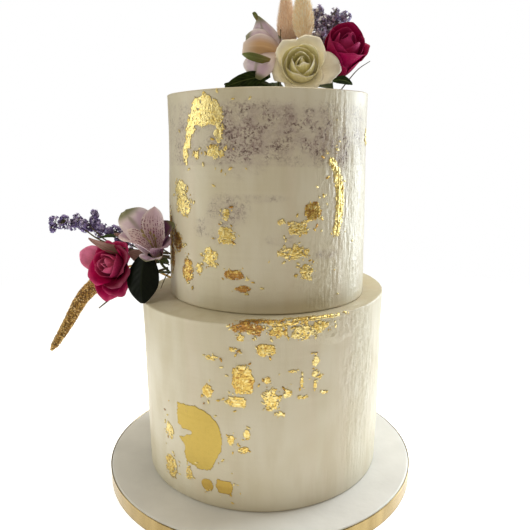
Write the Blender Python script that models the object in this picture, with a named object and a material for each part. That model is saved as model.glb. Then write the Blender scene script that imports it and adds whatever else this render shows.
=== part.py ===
"""A two-tier wedding cake on its ribboned drum, with gold leaf and two sprays of fresh flowers.

Lengths are metres, and MM turns a millimetre into one. +Z is up, the side with the flowers and the
gold leaf faces -Y, and the origin is the middle of the drum's underside. Every piece is one closed
solid, and pieces that touch keep CLEARANCE between them.
"""

import math
import random
from dataclasses import dataclass

import bmesh
import bpy
from mathutils import Vector

MM = 0.001
CLEARANCE = 0.3 * MM
ROUND_SEGMENTS = 60

# The covered board and the ribbon round its edge
DRUM_RADIUS = 140 * MM
DRUM_THICKNESS = 15 * MM
DRUM_EDGE = 1.6 * MM
RIBBON_WIDTH = 13.8 * MM
RIBBON_THICKNESS = 0.5 * MM
RIBBON_FOOT = 0.5 * MM
RIBBON_OVERLAP_DEG = 11
RIBBON_START_DEG = 80

# The tiers: an 8 inch and a 6.5 inch cake with their buttercream
BOTTOM_RADIUS = 107 * MM
BOTTOM_HEIGHT = 157.2 * MM
BOTTOM_CENTRE = Vector((2.3 * MM, 0))
LEDGE_FLAT_RADIUS = 92 * MM
LEDGE_RISE = 3 * MM
TOP_RADIUS_LOW = 85.5 * MM
TOP_RADIUS_HIGH = 83 * MM
TOP_HEIGHT = 166.7 * MM
TOP_FLAT_RADIUS = 70 * MM
TOP_RISE = 0.5 * MM
TOP_CENTRE = Vector((6.2 * MM, -3.5 * MM))
TIER_WOBBLE = 0.45 * MM
TIER_RIM = 1.4 * MM
TIER_FOOT = 0.8 * MM
RIM_WAVE = 0.3 * MM

# Gold leaf, as flakes that stand a little proud of the buttercream
FLAKE_PROUD = 0.5 * MM
FLAKE_ROOT = 1.0 * MM
FLAKE_STRIP = 9 * MM
SMALL_FLAKE = 10 * MM

# Flower parts
PETAL_THICKNESS = 0.9 * MM
PETAL_CUP = 0.55
PETAL_LAP = 1.1 * MM
LEAF_THICKNESS = 0.9 * MM
STEM_RADIUS = 1.1 * MM
STALK_RADIUS = 1.0 * MM
STRAW_RADIUS = 0.7 * MM
MILLET_RADIUS = 7.2 * MM

COLOURS = {
    "drum white": ((0.86, 0.86, 0.84), 0.55, 0.0),
    "ribbon gold": ((0.68, 0.48, 0.17), 0.3, 0.8),
    "buttercream": ((0.85, 0.8, 0.66), 0.5, 0.0),
    "white petal": ((0.86, 0.82, 0.6), 0.6, 0.0),
    "magenta petal": ((0.42, 0.02, 0.12), 0.55, 0.0),
    "pink petal": ((0.6, 0.07, 0.2), 0.55, 0.0),
    "lilac petal": ((0.62, 0.45, 0.58), 0.55, 0.0),
    "bunny tail": ((0.8, 0.66, 0.45), 0.9, 0.0),
    "sea lavender": ((0.25, 0.2, 0.42), 0.7, 0.0),
    "millet": ((0.5, 0.3, 0.08), 0.7, 0.0),
    "leaf green": ((0.03, 0.07, 0.02), 0.4, 0.0),
}


def clear_scene():
    for old in list(bpy.data.objects):
        bpy.data.objects.remove(old)


def paint(name):
    """The named finish, made the first time it is asked for."""
    if name in bpy.data.materials:
        return bpy.data.materials[name]
    colour, roughness, metallic = COLOURS[name]
    finish = bpy.data.materials.new(name)
    finish.use_nodes = True
    shader = finish.node_tree.nodes["Principled BSDF"]
    shader.inputs["Base Color"].default_value = (*colour, 1)
    shader.inputs["Roughness"].default_value = roughness
    shader.inputs["Metallic"].default_value = metallic
    return finish


# Shapes as vertices and faces


def skin(rings):
    """A closed skin through rings of equally many points, with a cap at each end."""
    count = len(rings[0])
    points = [point for ring in rings for point in ring]
    faces = []
    for ring in range(len(rings) - 1):
        low = ring * count
        high = low + count
        for k in range(count):
            after = (k + 1) % count
            faces.append((low + k, low + after, high + after, high + k))
    last = (len(rings) - 1) * count
    faces.append(tuple(reversed(range(count))))
    faces.append(tuple(range(last, last + count)))
    return points, faces


def sheet(point_at, across_steps, along_steps, thickness):
    """A thin solid about the surface point_at(across -1..1, along 0..1), both faces split alike."""
    columns = across_steps + 1
    rows = along_steps + 1
    middle = []
    normals = []
    nudge = 0.01
    for row in range(rows):
        along = row / along_steps
        for column in range(columns):
            across = 2 * column / across_steps - 1
            here = point_at(across, along)
            side = point_at(across + nudge, along) - point_at(across - nudge, along)
            up = point_at(across, min(1, along + nudge)) - point_at(across, max(0, along - nudge))
            middle.append(here)
            normals.append(side.cross(up).normalized())
    half = thickness / 2
    points = [p + n * half for p, n in zip(middle, normals)]
    points += [p - n * half for p, n in zip(middle, normals)]
    back = len(middle)
    faces = []
    for row in range(along_steps):
        for column in range(across_steps):
            a = row * columns + column
            b = a + 1
            c = a + columns + 1
            d = a + columns
            faces += [(a, b, c), (a, c, d), (back + a, back + c, back + b), (back + a, back + d, back + c)]
    rim = [column for column in range(columns)]
    rim += [row * columns + across_steps for row in range(1, rows)]
    rim += [along_steps * columns + column for column in reversed(range(across_steps))]
    rim += [row * columns for row in reversed(range(1, along_steps))]
    for here, after in zip(rim, rim[1:] + rim[:1]):
        faces.append((here, back + here, back + after, after))
    return points, faces


def add_object(name, shape, finish):
    """An object of the given vertices and faces, with its faces turned outwards."""
    points, faces = shape
    mesh = bpy.data.meshes.new(name)
    mesh.from_pydata([tuple(p) for p in points], [], faces)
    turn_out(mesh)
    mesh.materials.append(paint(finish))
    made = bpy.data.objects.new(name, mesh)
    bpy.context.scene.collection.objects.link(made)
    return made


def turn_out(mesh):
    work = bmesh.new()
    work.from_mesh(mesh)
    bmesh.ops.recalc_face_normals(work, faces=work.faces)
    work.to_mesh(mesh)
    work.free()


def smooth_rounds(made, angle_deg=35):
    made.data.shade_smooth()
    made.data.set_sharp_from_angle(angle=math.radians(angle_deg))


def fuse(made, pieces, solver="EXACT"):
    """Joins the pieces to the object with one Boolean union and removes them."""
    group = bpy.data.collections.new("fusing")
    bpy.context.scene.collection.children.link(group)
    for piece in pieces:
        bpy.context.scene.collection.objects.unlink(piece)
        group.objects.link(piece)
    union = made.modifiers.new("union", "BOOLEAN")
    union.operation = "UNION"
    union.operand_type = "COLLECTION"
    union.collection = group
    union.solver = solver
    with bpy.context.temp_override(object=made, active_object=made):
        bpy.ops.object.modifier_apply(modifier=union.name)
    for piece in pieces:
        bpy.data.objects.remove(piece)
    bpy.data.collections.remove(group)
    keep_outer_shell(made.data)


def keep_outer_shell(mesh):
    """Drops loose scraps and sealed hollows, which leaves the largest connected skin."""
    work = bmesh.new()
    work.from_mesh(mesh)
    unseen = set(work.verts)
    shells = []
    while unseen:
        todo = [unseen.pop()]
        shell = list(todo)
        while todo:
            for edge in todo.pop().link_edges:
                for vert in edge.verts:
                    if vert in unseen:
                        unseen.remove(vert)
                        todo.append(vert)
                        shell.append(vert)
        shells.append(shell)
    shells.sort(key=len)
    for shell in shells[:-1]:
        bmesh.ops.delete(work, geom=shell, context="VERTS")
    bmesh.ops.triangulate(work, faces=work.faces)
    drop_flaps(work)
    work.to_mesh(mesh)
    work.free()


def drop_flaps(work):
    """Removes pairs of triangles that lie back to back and so enclose nothing."""
    sharing = {}
    for face in work.faces:
        sharing.setdefault(frozenset(face.verts), []).append(face)
    doubled = [face for faces in sharing.values() if len(faces) == 2 for face in faces]
    bmesh.ops.delete(work, geom=doubled, context="FACES")


def circle(radius, height, count, centre=(0, 0)):
    turns = [2 * math.pi * k / count for k in range(count)]
    return [
        Vector((centre[0] + radius * math.cos(a), centre[1] + radius * math.sin(a), height)) for a in turns
    ]


def curve_points(knots, count):
    """Evenly numbered points on a smooth curve through the knots."""
    points = []
    for k in range(count):
        place = k / (count - 1) * (len(knots) - 1)
        span = min(int(place), len(knots) - 2)
        t = place - span
        b = knots[span]
        c = knots[span + 1]
        a = knots[span - 1] if span else b * 2 - c
        d = knots[span + 2] if span + 2 < len(knots) else c * 2 - b
        bent = (2 * a - 5 * b + 4 * c - d) * t**2 + (3 * b - a - 3 * c + d) * t**3
        points.append(0.5 * (2 * b + (c - a) * t + bent))
    return points


def tube(knots, radius_at, count, sides):
    """A capped tube along a curve, radius_at(share of its length, angle) wide."""
    path = curve_points(knots, count)
    rings = []
    first_side = None
    for k, here in enumerate(path):
        ahead = (path[min(k + 1, count - 1)] - path[max(k - 1, 0)]).normalized()
        if first_side is None:
            first_side = ahead.orthogonal().normalized()
        first_side = (first_side - ahead * first_side.dot(ahead)).normalized()
        second_side = ahead.cross(first_side)
        ring = []
        for s in range(sides):
            a = 2 * math.pi * s / sides
            reach = radius_at(k / (count - 1), a)
            ring.append(here + reach * (math.cos(a) * first_side + math.sin(a) * second_side))
        rings.append(ring)
    return skin(rings)


def stand(made, base, facing):
    """Puts the object's origin at base with its own +Z along facing and its own +Y upwards."""
    made.rotation_mode = "QUATERNION"
    made.rotation_quaternion = Vector(facing).to_track_quat("Z", "Y")
    made.location = base


# Drum and ribbon


def build_drum():
    rings = [
        circle(DRUM_RADIUS - DRUM_EDGE / 2, 0, ROUND_SEGMENTS),
        circle(DRUM_RADIUS, DRUM_EDGE / 2, ROUND_SEGMENTS),
        circle(DRUM_RADIUS, DRUM_THICKNESS - DRUM_EDGE, ROUND_SEGMENTS),
        circle(DRUM_RADIUS - DRUM_EDGE, DRUM_THICKNESS, ROUND_SEGMENTS),
    ]
    smooth_rounds(add_object("cake_drum", skin(rings), "drum white"))


def build_ribbon():
    """One strip wound round the drum, its end lapped over its start at the back."""
    steps = ROUND_SEGMENTS
    overlap = math.radians(RIBBON_OVERLAP_DEG)
    start = math.radians(RIBBON_START_DEG)
    inner = DRUM_RADIUS + CLEARANCE
    lift = RIBBON_THICKNESS + CLEARANCE
    low = RIBBON_FOOT
    high = low + RIBBON_WIDTH
    rings = []
    for k in range(steps + 1):
        turned = (2 * math.pi + overlap) * k / steps
        lapped = max(0, min(1, (turned - 2 * math.pi + overlap) / overlap))
        near = inner + lift * lapped
        far = near + RIBBON_THICKNESS
        out = Vector((math.cos(start + turned), math.sin(start + turned), 0))
        foot = Vector((0, 0, low))
        head = Vector((0, 0, high))
        rings.append([out * near + foot, out * far + foot, out * far + head, out * near + head])
    smooth_rounds(add_object("drum_ribbon", skin(rings), "ribbon gold"))


# Tiers


@dataclass
class Tier:
    """Where one tier's buttercream is at any angle and height."""

    centre: Vector
    base: float
    height: float
    radius_low: float
    radius_high: float
    flat_radius: float
    rise: float
    phase: float

    def radius(self, angle, height):
        """The side's distance from the tier's axis, height above the tier's own base."""
        share = height / self.height
        wobble = math.sin(2 * angle + self.phase) + 0.7 * math.sin(3 * angle - self.phase + 4 * share)
        wobble += 0.4 * math.sin(7 * angle + 9 * share)
        return self.radius_low + (self.radius_high - self.radius_low) * share + TIER_WOBBLE * wobble

    def rim(self, angle):
        """How far the rim stands above the flat top, or sinks below it."""
        return self.rise * math.cos(angle) + RIM_WAVE * math.sin(4 * angle + self.phase)

    def side_point(self, angle, height, proud=0.0):
        reach = self.radius(angle, height) + proud
        out = self.centre + reach * Vector((math.cos(angle), math.sin(angle)))
        return Vector((out.x, out.y, self.base + height))


BOTTOM_TIER = Tier(
    BOTTOM_CENTRE,
    DRUM_THICKNESS + CLEARANCE,
    BOTTOM_HEIGHT,
    BOTTOM_RADIUS - 0.5 * MM,
    BOTTOM_RADIUS,
    LEDGE_FLAT_RADIUS,
    LEDGE_RISE,
    0.4,
)
TOP_TIER = Tier(
    TOP_CENTRE,
    BOTTOM_TIER.base + BOTTOM_HEIGHT + CLEARANCE,
    TOP_HEIGHT,
    TOP_RADIUS_LOW,
    TOP_RADIUS_HIGH,
    TOP_FLAT_RADIUS,
    TOP_RISE,
    2.1,
)


def tier_rings(tier):
    """Rings from the foot, up the side, over the rim and in to the flat top."""
    angles = [2 * math.pi * k / ROUND_SEGMENTS for k in range(ROUND_SEGMENTS)]
    rings = [[tier.side_point(a, 0, -TIER_FOOT) for a in angles]]
    for height in (TIER_FOOT, tier.height / 2):
        rings.append([tier.side_point(a, height) for a in angles])
    for inset, drop in ((0, TIER_RIM), (TIER_RIM, 0)):
        rings.append([tier.side_point(a, tier.height + tier.rim(a) - drop, -inset) for a in angles])
    rings.append(circle(tier.flat_radius, tier.base + tier.height, ROUND_SEGMENTS, tier.centre))
    return rings


def ragged_outline(width, tall, seed):
    """A torn flake's outline, as offsets along the side and up it."""
    draw = random.Random(seed)
    points = 7 if width < SMALL_FLAKE else 9
    outline = []
    for k in range(points):
        turn = 2 * math.pi * (k + draw.uniform(-0.2, 0.2)) / points
        reach = draw.uniform(0.72, 1.08)
        outline.append((width / 2 * reach * math.cos(turn), tall / 2 * reach * math.sin(turn)))
    return outline


# The two flakes with a shape of their own, as shares of their width and height
ARCH_SHARES = (
    (-0.13, 0.44),
    (0.1, 0.5),
    (0.4, 0.36),
    (0.48, 0.1),
    (0.4, -0.25),
    (0.3, -0.12),
    (0.3, 0.06),
    (-0.12, 0.04),
    (-0.3, -0.3),
    (-0.36, -0.5),
    (-0.5, -0.46),
    (-0.38, -0.05),
    (-0.28, 0.2),
)
HALF_DISC_SHARES = (
    (-0.36, 0.46),
    (-0.05, 0.5),
    (0.3, 0.36),
    (0.5, 0.05),
    (0.42, -0.24),
    (0.22, -0.5),
    (-0.08, -0.44),
    (-0.3, -0.34),
    (-0.16, -0.26),
    (-0.38, -0.1),
    (-0.1, 0.02),
    (-0.36, 0.06),
)

# Flakes as (degrees round the tier, millimetres above its base, millimetres wide, millimetres tall)
TOP_FLAKES = (
    (-130, 119, 6, 6),
    (-118, 122, 14, 10),
    (-146, 93, 16, 13),
    (-143, 80, 17, 15),
    (-53, 103, 7, 27),
    (-53, 72, 9, 32),
    (-67, 78, 14, 14),
    (-75, 66, 17, 9),
    (-77, 48, 20, 10),
    (-70, 32, 10, 13),
    (-112, 76, 6, 9),
    (-112, 60, 14, 13),
    (-122, 42, 12, 14),
    (-130, 32, 6, 6),
    (-108, 30, 18, 7),
    (-103, 20, 11, 5),
    (-139, 29, 9, 17),
)
BOTTOM_FLAKES = (
    (-97, 151, 24, 9),
    (-83, 150, 17, 10),
    (-71, 149, 27, 11),
    (-89, 136, 15, 10),
    (-99, 145, 6, 5),
    (-98, 112, 19, 24),
    (-113.5, 100, 9, 11),
    (-101, 94, 17, 8),
    (-87, 96, 13, 18),
    (-80, 101, 6, 8),
    (-68, 124, 6, 9),
    (-68, 114, 5, 6),
    (-136, 54, 9, 13),
    (-106, 66, 6, 10),
    (-97, 68, 6, 7),
    (-136, 21, 15, 17),
    (-124, 24, 6, 10),
    (-114, 18, 9, 11),
    (-105.5, 20.5, 14, 12),
    (-98, 54, 8, 6),
)
ARCH_PLACE = (-127, 138, 44, 50)
HALF_DISC_PLACE = (-117, 58.5, 40, 54)


def flake(tier, angle_deg, height, outline):
    """A flake wrapped round the tier's side: a flat outline, cut into strips, bent and given a root."""
    work = bmesh.new()
    work.faces.new([work.verts.new((across, 0, up)) for across, up in outline])
    widest = max(abs(across) for across, up in outline)
    cut = -math.floor(widest / FLAKE_STRIP) * FLAKE_STRIP
    while cut <= widest:
        parts = work.verts[:] + work.edges[:] + work.faces[:]
        bmesh.ops.bisect_plane(work, geom=parts, plane_co=(cut, 0, 0), plane_no=(1, 0, 0))
        cut += FLAKE_STRIP
    bmesh.ops.triangulate(work, faces=work.faces)
    front = list(work.faces)
    extruded = bmesh.ops.extrude_face_region(work, geom=front)
    root = {part for part in extruded["geom"] if isinstance(part, bmesh.types.BMVert)}
    middle = math.radians(angle_deg)
    for vert in work.verts:
        proud = -FLAKE_ROOT if vert in root else FLAKE_PROUD
        angle = middle + vert.co.x / tier.radius(middle, height)
        vert.co = tier.side_point(angle, height + vert.co.z, proud)
    bmesh.ops.recalc_face_normals(work, faces=work.faces)
    mesh = bpy.data.meshes.new("flake")
    work.to_mesh(mesh)
    work.free()
    made = bpy.data.objects.new("flake", mesh)
    bpy.context.scene.collection.objects.link(made)
    return made


def build_tier(name, tier, flakes, special_place, special_shares):
    made = add_object(name, skin(tier_rings(tier)), "buttercream")
    torn = []
    for seed, (angle_deg, height, width, tall) in enumerate(flakes):
        outline = ragged_outline(width * MM, tall * MM, seed)
        torn.append(flake(tier, angle_deg, height * MM, outline))
    angle_deg, height, width, tall = special_place
    outline = [(width * MM * across, tall * MM * up) for across, up in special_shares]
    torn.append(flake(tier, angle_deg, height * MM, outline))
    fuse(made, torn)
    smooth_rounds(made)


# Roses


@dataclass
class RoseLayer:
    """Petals at one distance from the bud. A positive flare rolls the lip out, a negative one closes it."""

    petals: int
    radius: float
    start: float
    height: float
    spread_deg: float
    flare: float
    first_deg: float
    across_steps: int
    along_steps: int


def rose_petal(layer, middle, heart):
    """The middle surface of one rose petal: it cups out from the heart and stands up to its lip."""
    spread = math.radians(layer.spread_deg)

    def point_at(across, along):
        opened = math.sin(min(1, along / PETAL_CUP) * math.pi / 2)
        past = max(0, along - PETAL_CUP) / (1 - PETAL_CUP)
        width = 0.5 + 0.5 * math.sin(min(1, along / 0.6) * math.pi / 2) - 0.22 * past**2
        angle = middle + spread * width * across
        reach = heart + (layer.radius - heart) * opened + layer.flare * past**2 + PETAL_LAP * across * opened
        risen = along - 0.12 * past**2 - 0.12 * across**2 * along**2
        height = layer.start + (layer.height - layer.start) * risen
        return Vector((reach * math.cos(angle), reach * math.sin(angle), height))

    return point_at


def rose_heart(radius, height):
    """The tight bud in the middle, and the hip under it."""
    shares = ((-0.2, 0.5), (-0.05, 0.75), (0.25, 0.8), (0.6, 1.0), (0.85, 0.75), (1.0, 0.3))
    return skin([circle(radius * wide, height * up, 8) for up, wide in shares])


def build_rose(name, finish, base, facing, layers, heart_radius, heart_height, stem_end):
    made = add_object(name, rose_heart(heart_radius, heart_height), finish)
    stand(made, base, facing)
    pieces = []
    for layer in layers:
        for k in range(layer.petals):
            middle = math.radians(layer.first_deg + 360 * k / layer.petals)
            surface = rose_petal(layer, middle, heart_radius * 0.55)
            shape = sheet(surface, layer.across_steps, layer.along_steps, PETAL_THICKNESS)
            petal = add_object("petal", shape, finish)
            stand(petal, base, facing)
            pieces.append(petal)
    pieces.append(stem_piece(base, facing, stem_end, finish))
    fuse(made, pieces, "MANIFOLD")
    smooth_rounds(made, 50)


def stem_piece(base, facing, end, finish):
    """A stem out of the back of the flower and on to where it enters the cake."""
    back = -Vector(facing).normalized()
    bend = base + back * (end - base).length * 0.4
    return add_object("stem", tube([base, bend, end], lambda share, a: STEM_RADIUS, 5, 6), finish)


def build_roses():
    build_rose(
        "white_rose",
        "white petal",
        base=Vector((31.5, -44, 358)) * MM,
        facing=(-0.03, -0.94, 0.3),
        layers=(
            RoseLayer(3, 6.5 * MM, 5 * MM, 22 * MM, 66, -1 * MM, 20, 2, 2),
            RoseLayer(3, 10.5 * MM, 3 * MM, 24 * MM, 68, 0, 75, 3, 2),
            RoseLayer(3, 16 * MM, 1 * MM, 20 * MM, 64, 3.5 * MM, 20, 3, 3),
            RoseLayer(4, 17.5 * MM, -1 * MM, 15 * MM, 52, 4.5 * MM, 65, 3, 3),
            RoseLayer(1, 20 * MM, -3 * MM, 12 * MM, 36, 6 * MM, -24, 3, 2),
        ),
        heart_radius=4.5 * MM,
        heart_height=19 * MM,
        stem_end=Vector((24, -34, 341.3)) * MM,
    )
    build_rose(
        "magenta_rose",
        "magenta petal",
        base=Vector((62.5, -24, 356)) * MM,
        facing=(0.22, -0.7, 0.68),
        layers=(
            RoseLayer(3, 6 * MM, 5 * MM, 36 * MM, 66, -1.5 * MM, 20, 2, 2),
            RoseLayer(3, 9.5 * MM, 3 * MM, 37 * MM, 66, 0, 80, 3, 2),
            RoseLayer(3, 13 * MM, 1 * MM, 36 * MM, 64, 1 * MM, 20, 3, 3),
            RoseLayer(4, 14.5 * MM, -1 * MM, 31 * MM, 50, 2.5 * MM, 65, 3, 3),
        ),
        heart_radius=4.5 * MM,
        heart_height=30 * MM,
        stem_end=Vector((60, -16, 341.3)) * MM,
    )
    build_rose(
        "pink_rose",
        "pink petal",
        base=Vector((-124, -10, 192)) * MM,
        facing=(-0.34, -0.86, 0.34),
        layers=(
            RoseLayer(3, 6.5 * MM, 5 * MM, 26 * MM, 66, -1 * MM, 0, 2, 2),
            RoseLayer(3, 10.5 * MM, 3 * MM, 27 * MM, 66, 0.5 * MM, 50, 3, 2),
            RoseLayer(3, 15.5 * MM, 1 * MM, 25 * MM, 64, 2.5 * MM, 110, 3, 3),
            RoseLayer(4, 19 * MM, -1 * MM, 20 * MM, 50, 4 * MM, 55, 3, 3),
            RoseLayer(1, 22.5 * MM, -3 * MM, 23 * MM, 32, 4 * MM, 168, 3, 2),
            RoseLayer(1, 22 * MM, -3 * MM, 17 * MM, 34, 6 * MM, 272, 3, 2),
        ),
        heart_radius=5 * MM,
        heart_height=22 * MM,
        stem_end=Vector((-81, -2, 186)) * MM,
    )


# Peruvian lilies


@dataclass
class Tepal:
    """One of a lily's six petals, by its direction round the flower's axis and how far it leans from it."""

    around_deg: float
    length: float
    half_width: float
    lean_low_deg: float
    lean_high_deg: float
    curl_radius: float
    heart: float


OUTER_HEART = 3.2 * MM
INNER_HEART = 1.6 * MM
LILY_THROAT = 30 * MM
TEPAL_WIDEST = 0.62


def tepal_surface(tepal):
    """The middle surface of one tepal: a spoon whose spine is an arc that leans away from the axis."""
    around = math.radians(tepal.around_deg)
    turn = Vector((math.cos(around), math.sin(around), 0))
    side = Vector((-math.sin(around), math.cos(around), 0))
    low = math.radians(tepal.lean_low_deg)
    bend = math.radians(tepal.lean_high_deg - tepal.lean_low_deg)

    def point_at(across, along):
        lean = low + bend * along
        reach = tepal.heart + tepal.length / bend * (math.cos(low) - math.cos(lean))
        height = tepal.length / bend * (math.sin(lean) - math.sin(low))
        rising = min(1, along / TEPAL_WIDEST)
        falling = max(0, along - TEPAL_WIDEST) / (1 - TEPAL_WIDEST)
        width = tepal.half_width * (0.2 + 0.8 * math.sin(rising * math.pi / 2)) * (1 - 0.86 * falling**2)
        curl = width * across / tepal.curl_radius
        inward = Vector((0, 0, math.sin(lean))) - turn * math.cos(lean)
        middle = turn * reach + Vector((0, 0, height))
        return middle + tepal.curl_radius * (side * math.sin(curl) + inward * (1 - math.cos(curl)))

    return point_at


def build_lily(name, base, facing, tepals, stem_end):
    shares = ((-0.22, 0.5), (-0.1, 1.0), (0.05, 1.2), (0.2, 1.0))
    rings = [circle(OUTER_HEART * wide, LILY_THROAT * up, 8) for up, wide in shares]
    made = add_object(name, skin(rings), "lilac petal")
    stand(made, base, facing)
    pieces = []
    for tepal in tepals:
        steps = 4 if tepal.heart == OUTER_HEART else 3
        petal = add_object("tepal", sheet(tepal_surface(tepal), 2, steps, PETAL_THICKNESS), "lilac petal")
        stand(petal, base, facing)
        pieces.append(petal)
    pieces.append(stem_piece(base, facing, stem_end, "lilac petal"))
    fuse(made, pieces, "MANIFOLD")
    smooth_rounds(made, 50)


def build_lilies():
    build_lily(
        "lily_top",
        base=Vector((11, -36, 350)) * MM,
        facing=(-0.33, -0.3, 0.9),
        tepals=(
            Tepal(100, 49 * MM, 10 * MM, 8, 20, 11 * MM, OUTER_HEART),
            Tepal(160, 37 * MM, 7 * MM, 4, 26, 9 * MM, INNER_HEART),
            Tepal(215, 33 * MM, 9 * MM, 12, 44, 11 * MM, OUTER_HEART),
            Tepal(275, 35 * MM, 7 * MM, 4, 24, 9 * MM, INNER_HEART),
            Tepal(330, 40 * MM, 10 * MM, 8, 24, 11 * MM, OUTER_HEART),
            Tepal(40, 38 * MM, 7 * MM, 4, 22, 9 * MM, INNER_HEART),
        ),
        stem_end=Vector((15, -27, 341.3)) * MM,
    )
    build_lily(
        "lily_side",
        base=Vector((-86, -29.5, 206)) * MM,
        facing=(-0.17, -0.52, 0.84),
        tepals=(
            Tepal(94, 43 * MM, 9 * MM, 10, 50, 16 * MM, INNER_HEART),
            Tepal(152, 47 * MM, 13 * MM, 14, 60, 17 * MM, OUTER_HEART),
            Tepal(212, 38 * MM, 8 * MM, 10, 64, 13 * MM, INNER_HEART),
            Tepal(276, 20 * MM, 8 * MM, 22, 84, 16 * MM, OUTER_HEART),
            Tepal(335, 33 * MM, 8 * MM, 10, 74, 12 * MM, INNER_HEART),
            Tepal(35, 34 * MM, 10 * MM, 12, 56, 15 * MM, OUTER_HEART),
        ),
        stem_end=Vector((-80.8, -14, 190)) * MM,
    )


# Grasses and sprays


def bumpy(radius_at, sides, count, low, high, seed):
    """The radius with a seeded bump at each of a tube's points."""
    draw = random.Random(seed)
    bumps = [[draw.uniform(low, high) for _ in range(sides)] for _ in range(count)]

    def reach(share, angle):
        ring = round(share * (count - 1))
        spoke = round(angle / (2 * math.pi) * sides) % sides
        return radius_at(share) * bumps[ring][spoke]

    return reach


def build_bunny_tail(name, foot, head_low, head_high, radius, seed):
    """A bunny-tail grass: a soft egg-shaped head on a thin straw."""
    sides = 10
    count = 9

    def egg(share):
        return radius * max(0.2, math.sin(math.pi * (0.06 + 0.86 * share) ** 0.85))

    head = [head_low, (head_low + head_high) / 2, head_high]
    reach = bumpy(egg, sides, count, 0.94, 1.06, seed)
    made = add_object(name, tube(head, reach, count, sides), "bunny tail")
    inside = head_low + (head_high - head_low) * 0.15
    straw = tube([inside, (inside + foot) / 2, foot], lambda share, a: STRAW_RADIUS, 3, 6)
    fuse(made, [add_object("straw", straw, "bunny tail")])
    smooth_rounds(made)


def build_bunny_tails():
    build_bunny_tail(
        "bunny_tail_left",
        Vector((27, -14, 340.7)) * MM,
        Vector((23, -17, 377)) * MM,
        Vector((20.5, -19, 417)) * MM,
        8.4 * MM,
        1,
    )
    build_bunny_tail(
        "bunny_tail_right",
        Vector((35, -26, 340.7)) * MM,
        Vector((34.5, -33, 380)) * MM,
        Vector((32, -38, 417)) * MM,
        8.4 * MM,
        2,
    )


def cluster(centre, facing, radius):
    """A tight cluster of tiny papery flowers: a shallow five-sided crown that ends in a point behind."""
    turn = facing.to_track_quat("Z", "Y")
    spokes = [2 * math.pi * k / 5 for k in range(5)]
    ring = [centre + turn @ Vector((math.cos(a), math.sin(a), 0)) * radius for a in spokes]
    points = [centre - facing * radius * 1.3, centre + facing * radius * 0.6] + ring
    faces = []
    for k in range(5):
        after = (k + 1) % 5
        faces += [(0, 2 + after, 2 + k), (1, 2 + k, 2 + after)]
    return points, faces


def build_sea_lavender(name, stalk_knots, branches, seed):
    """Branches set with clusters of tiny flowers, fused to the stalk that carries them."""
    draw = random.Random(seed)
    made = add_object(name, tube(stalk_knots, lambda share, a: STALK_RADIUS, 6, 6), "sea lavender")
    pieces = []
    for knots, clusters, size in branches:
        branch = tube(knots, lambda share, a, s=size: s * (0.25 + 0.3 * math.sin(math.pi * share)), 4, 6)
        pieces.append(add_object("branch", branch, "sea lavender"))
        path = curve_points(knots, clusters)
        for k, here in enumerate(path):
            ahead = (path[min(k + 1, clusters - 1)] - path[max(k - 1, 0)]).normalized()
            out = Vector((draw.uniform(-1, 1), draw.uniform(-1, 1), draw.uniform(-0.6, 1.1)))
            out = (out - ahead * out.dot(ahead) * 0.8).normalized()
            wide = size * draw.uniform(0.8, 1.15)
            pieces.append(add_object("cluster", cluster(here + out * wide * 0.9, out, wide), "sea lavender"))
    fuse(made, pieces, "MANIFOLD")
    smooth_rounds(made)


def knots_from(places):
    return [Vector(place) * MM for place in places]


def build_sea_lavenders():
    build_sea_lavender(
        "sea_lavender_top",
        knots_from(((37, -8, 341), (43, -10, 355), (49, -12, 372), (52, -12, 384))),
        (
            (knots_from(((47, -12, 370), (46, -14, 386), (45, -17, 404))), 7, 4.5 * MM),
            (knots_from(((50, -12, 374), (55, -14, 390), (59, -18, 402))), 5, 4.7 * MM),
            (knots_from(((52, -10, 376), (60, -10, 391), (69, -12, 399))), 5, 4.3 * MM),
        ),
        5,
    )
    build_sea_lavender(
        "sea_lavender_side",
        knots_from(((-81, 9, 196), (-100, 5, 203), (-122, 2, 213), (-146, 0, 226))),
        (
            (knots_from(((-143, 0, 223), (-160, -3, 233), (-184, -6, 229.5))), 8, 4.7 * MM),
            (knots_from(((-118, 2, 212), (-129, 0, 223), (-141, -2, 228))), 6, 4.8 * MM),
            (knots_from(((-145, 0, 228), (-148, -2, 240))), 3, 3.4 * MM),
        ),
        8,
    )


def build_millet():
    """A dried millet spike hanging out over the side, on its straw."""
    sides = 10
    count = 17

    def spindle(share):
        return MILLET_RADIUS * (1 - 0.64 * share**1.3) * min(1, 0.75 + 2 * share)

    reach = bumpy(spindle, sides, count, 0.86, 1.14, 3)
    knots = knots_from(((-143, 14, 180), (-165, 10, 160.5), (-180, 3, 135), (-193, -6, 115)))
    made = add_object("millet_spike", tube(knots, reach, count, sides), "millet")
    straw_knots = knots_from(((-146, 14, 178), (-114, 15, 189), (-80.5, 8, 178)))
    straw = tube(straw_knots, lambda share, a: STALK_RADIUS, 5, 6)
    fuse(made, [add_object("straw", straw, "millet")])
    smooth_rounds(made)


# Leaves


@dataclass
class Leaf:
    """A leaf by the three knots of its rib and the way it is broad, in millimetres."""

    name: str
    base: tuple
    middle: tuple
    tip: tuple
    across: tuple
    width: float
    fold: float


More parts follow.
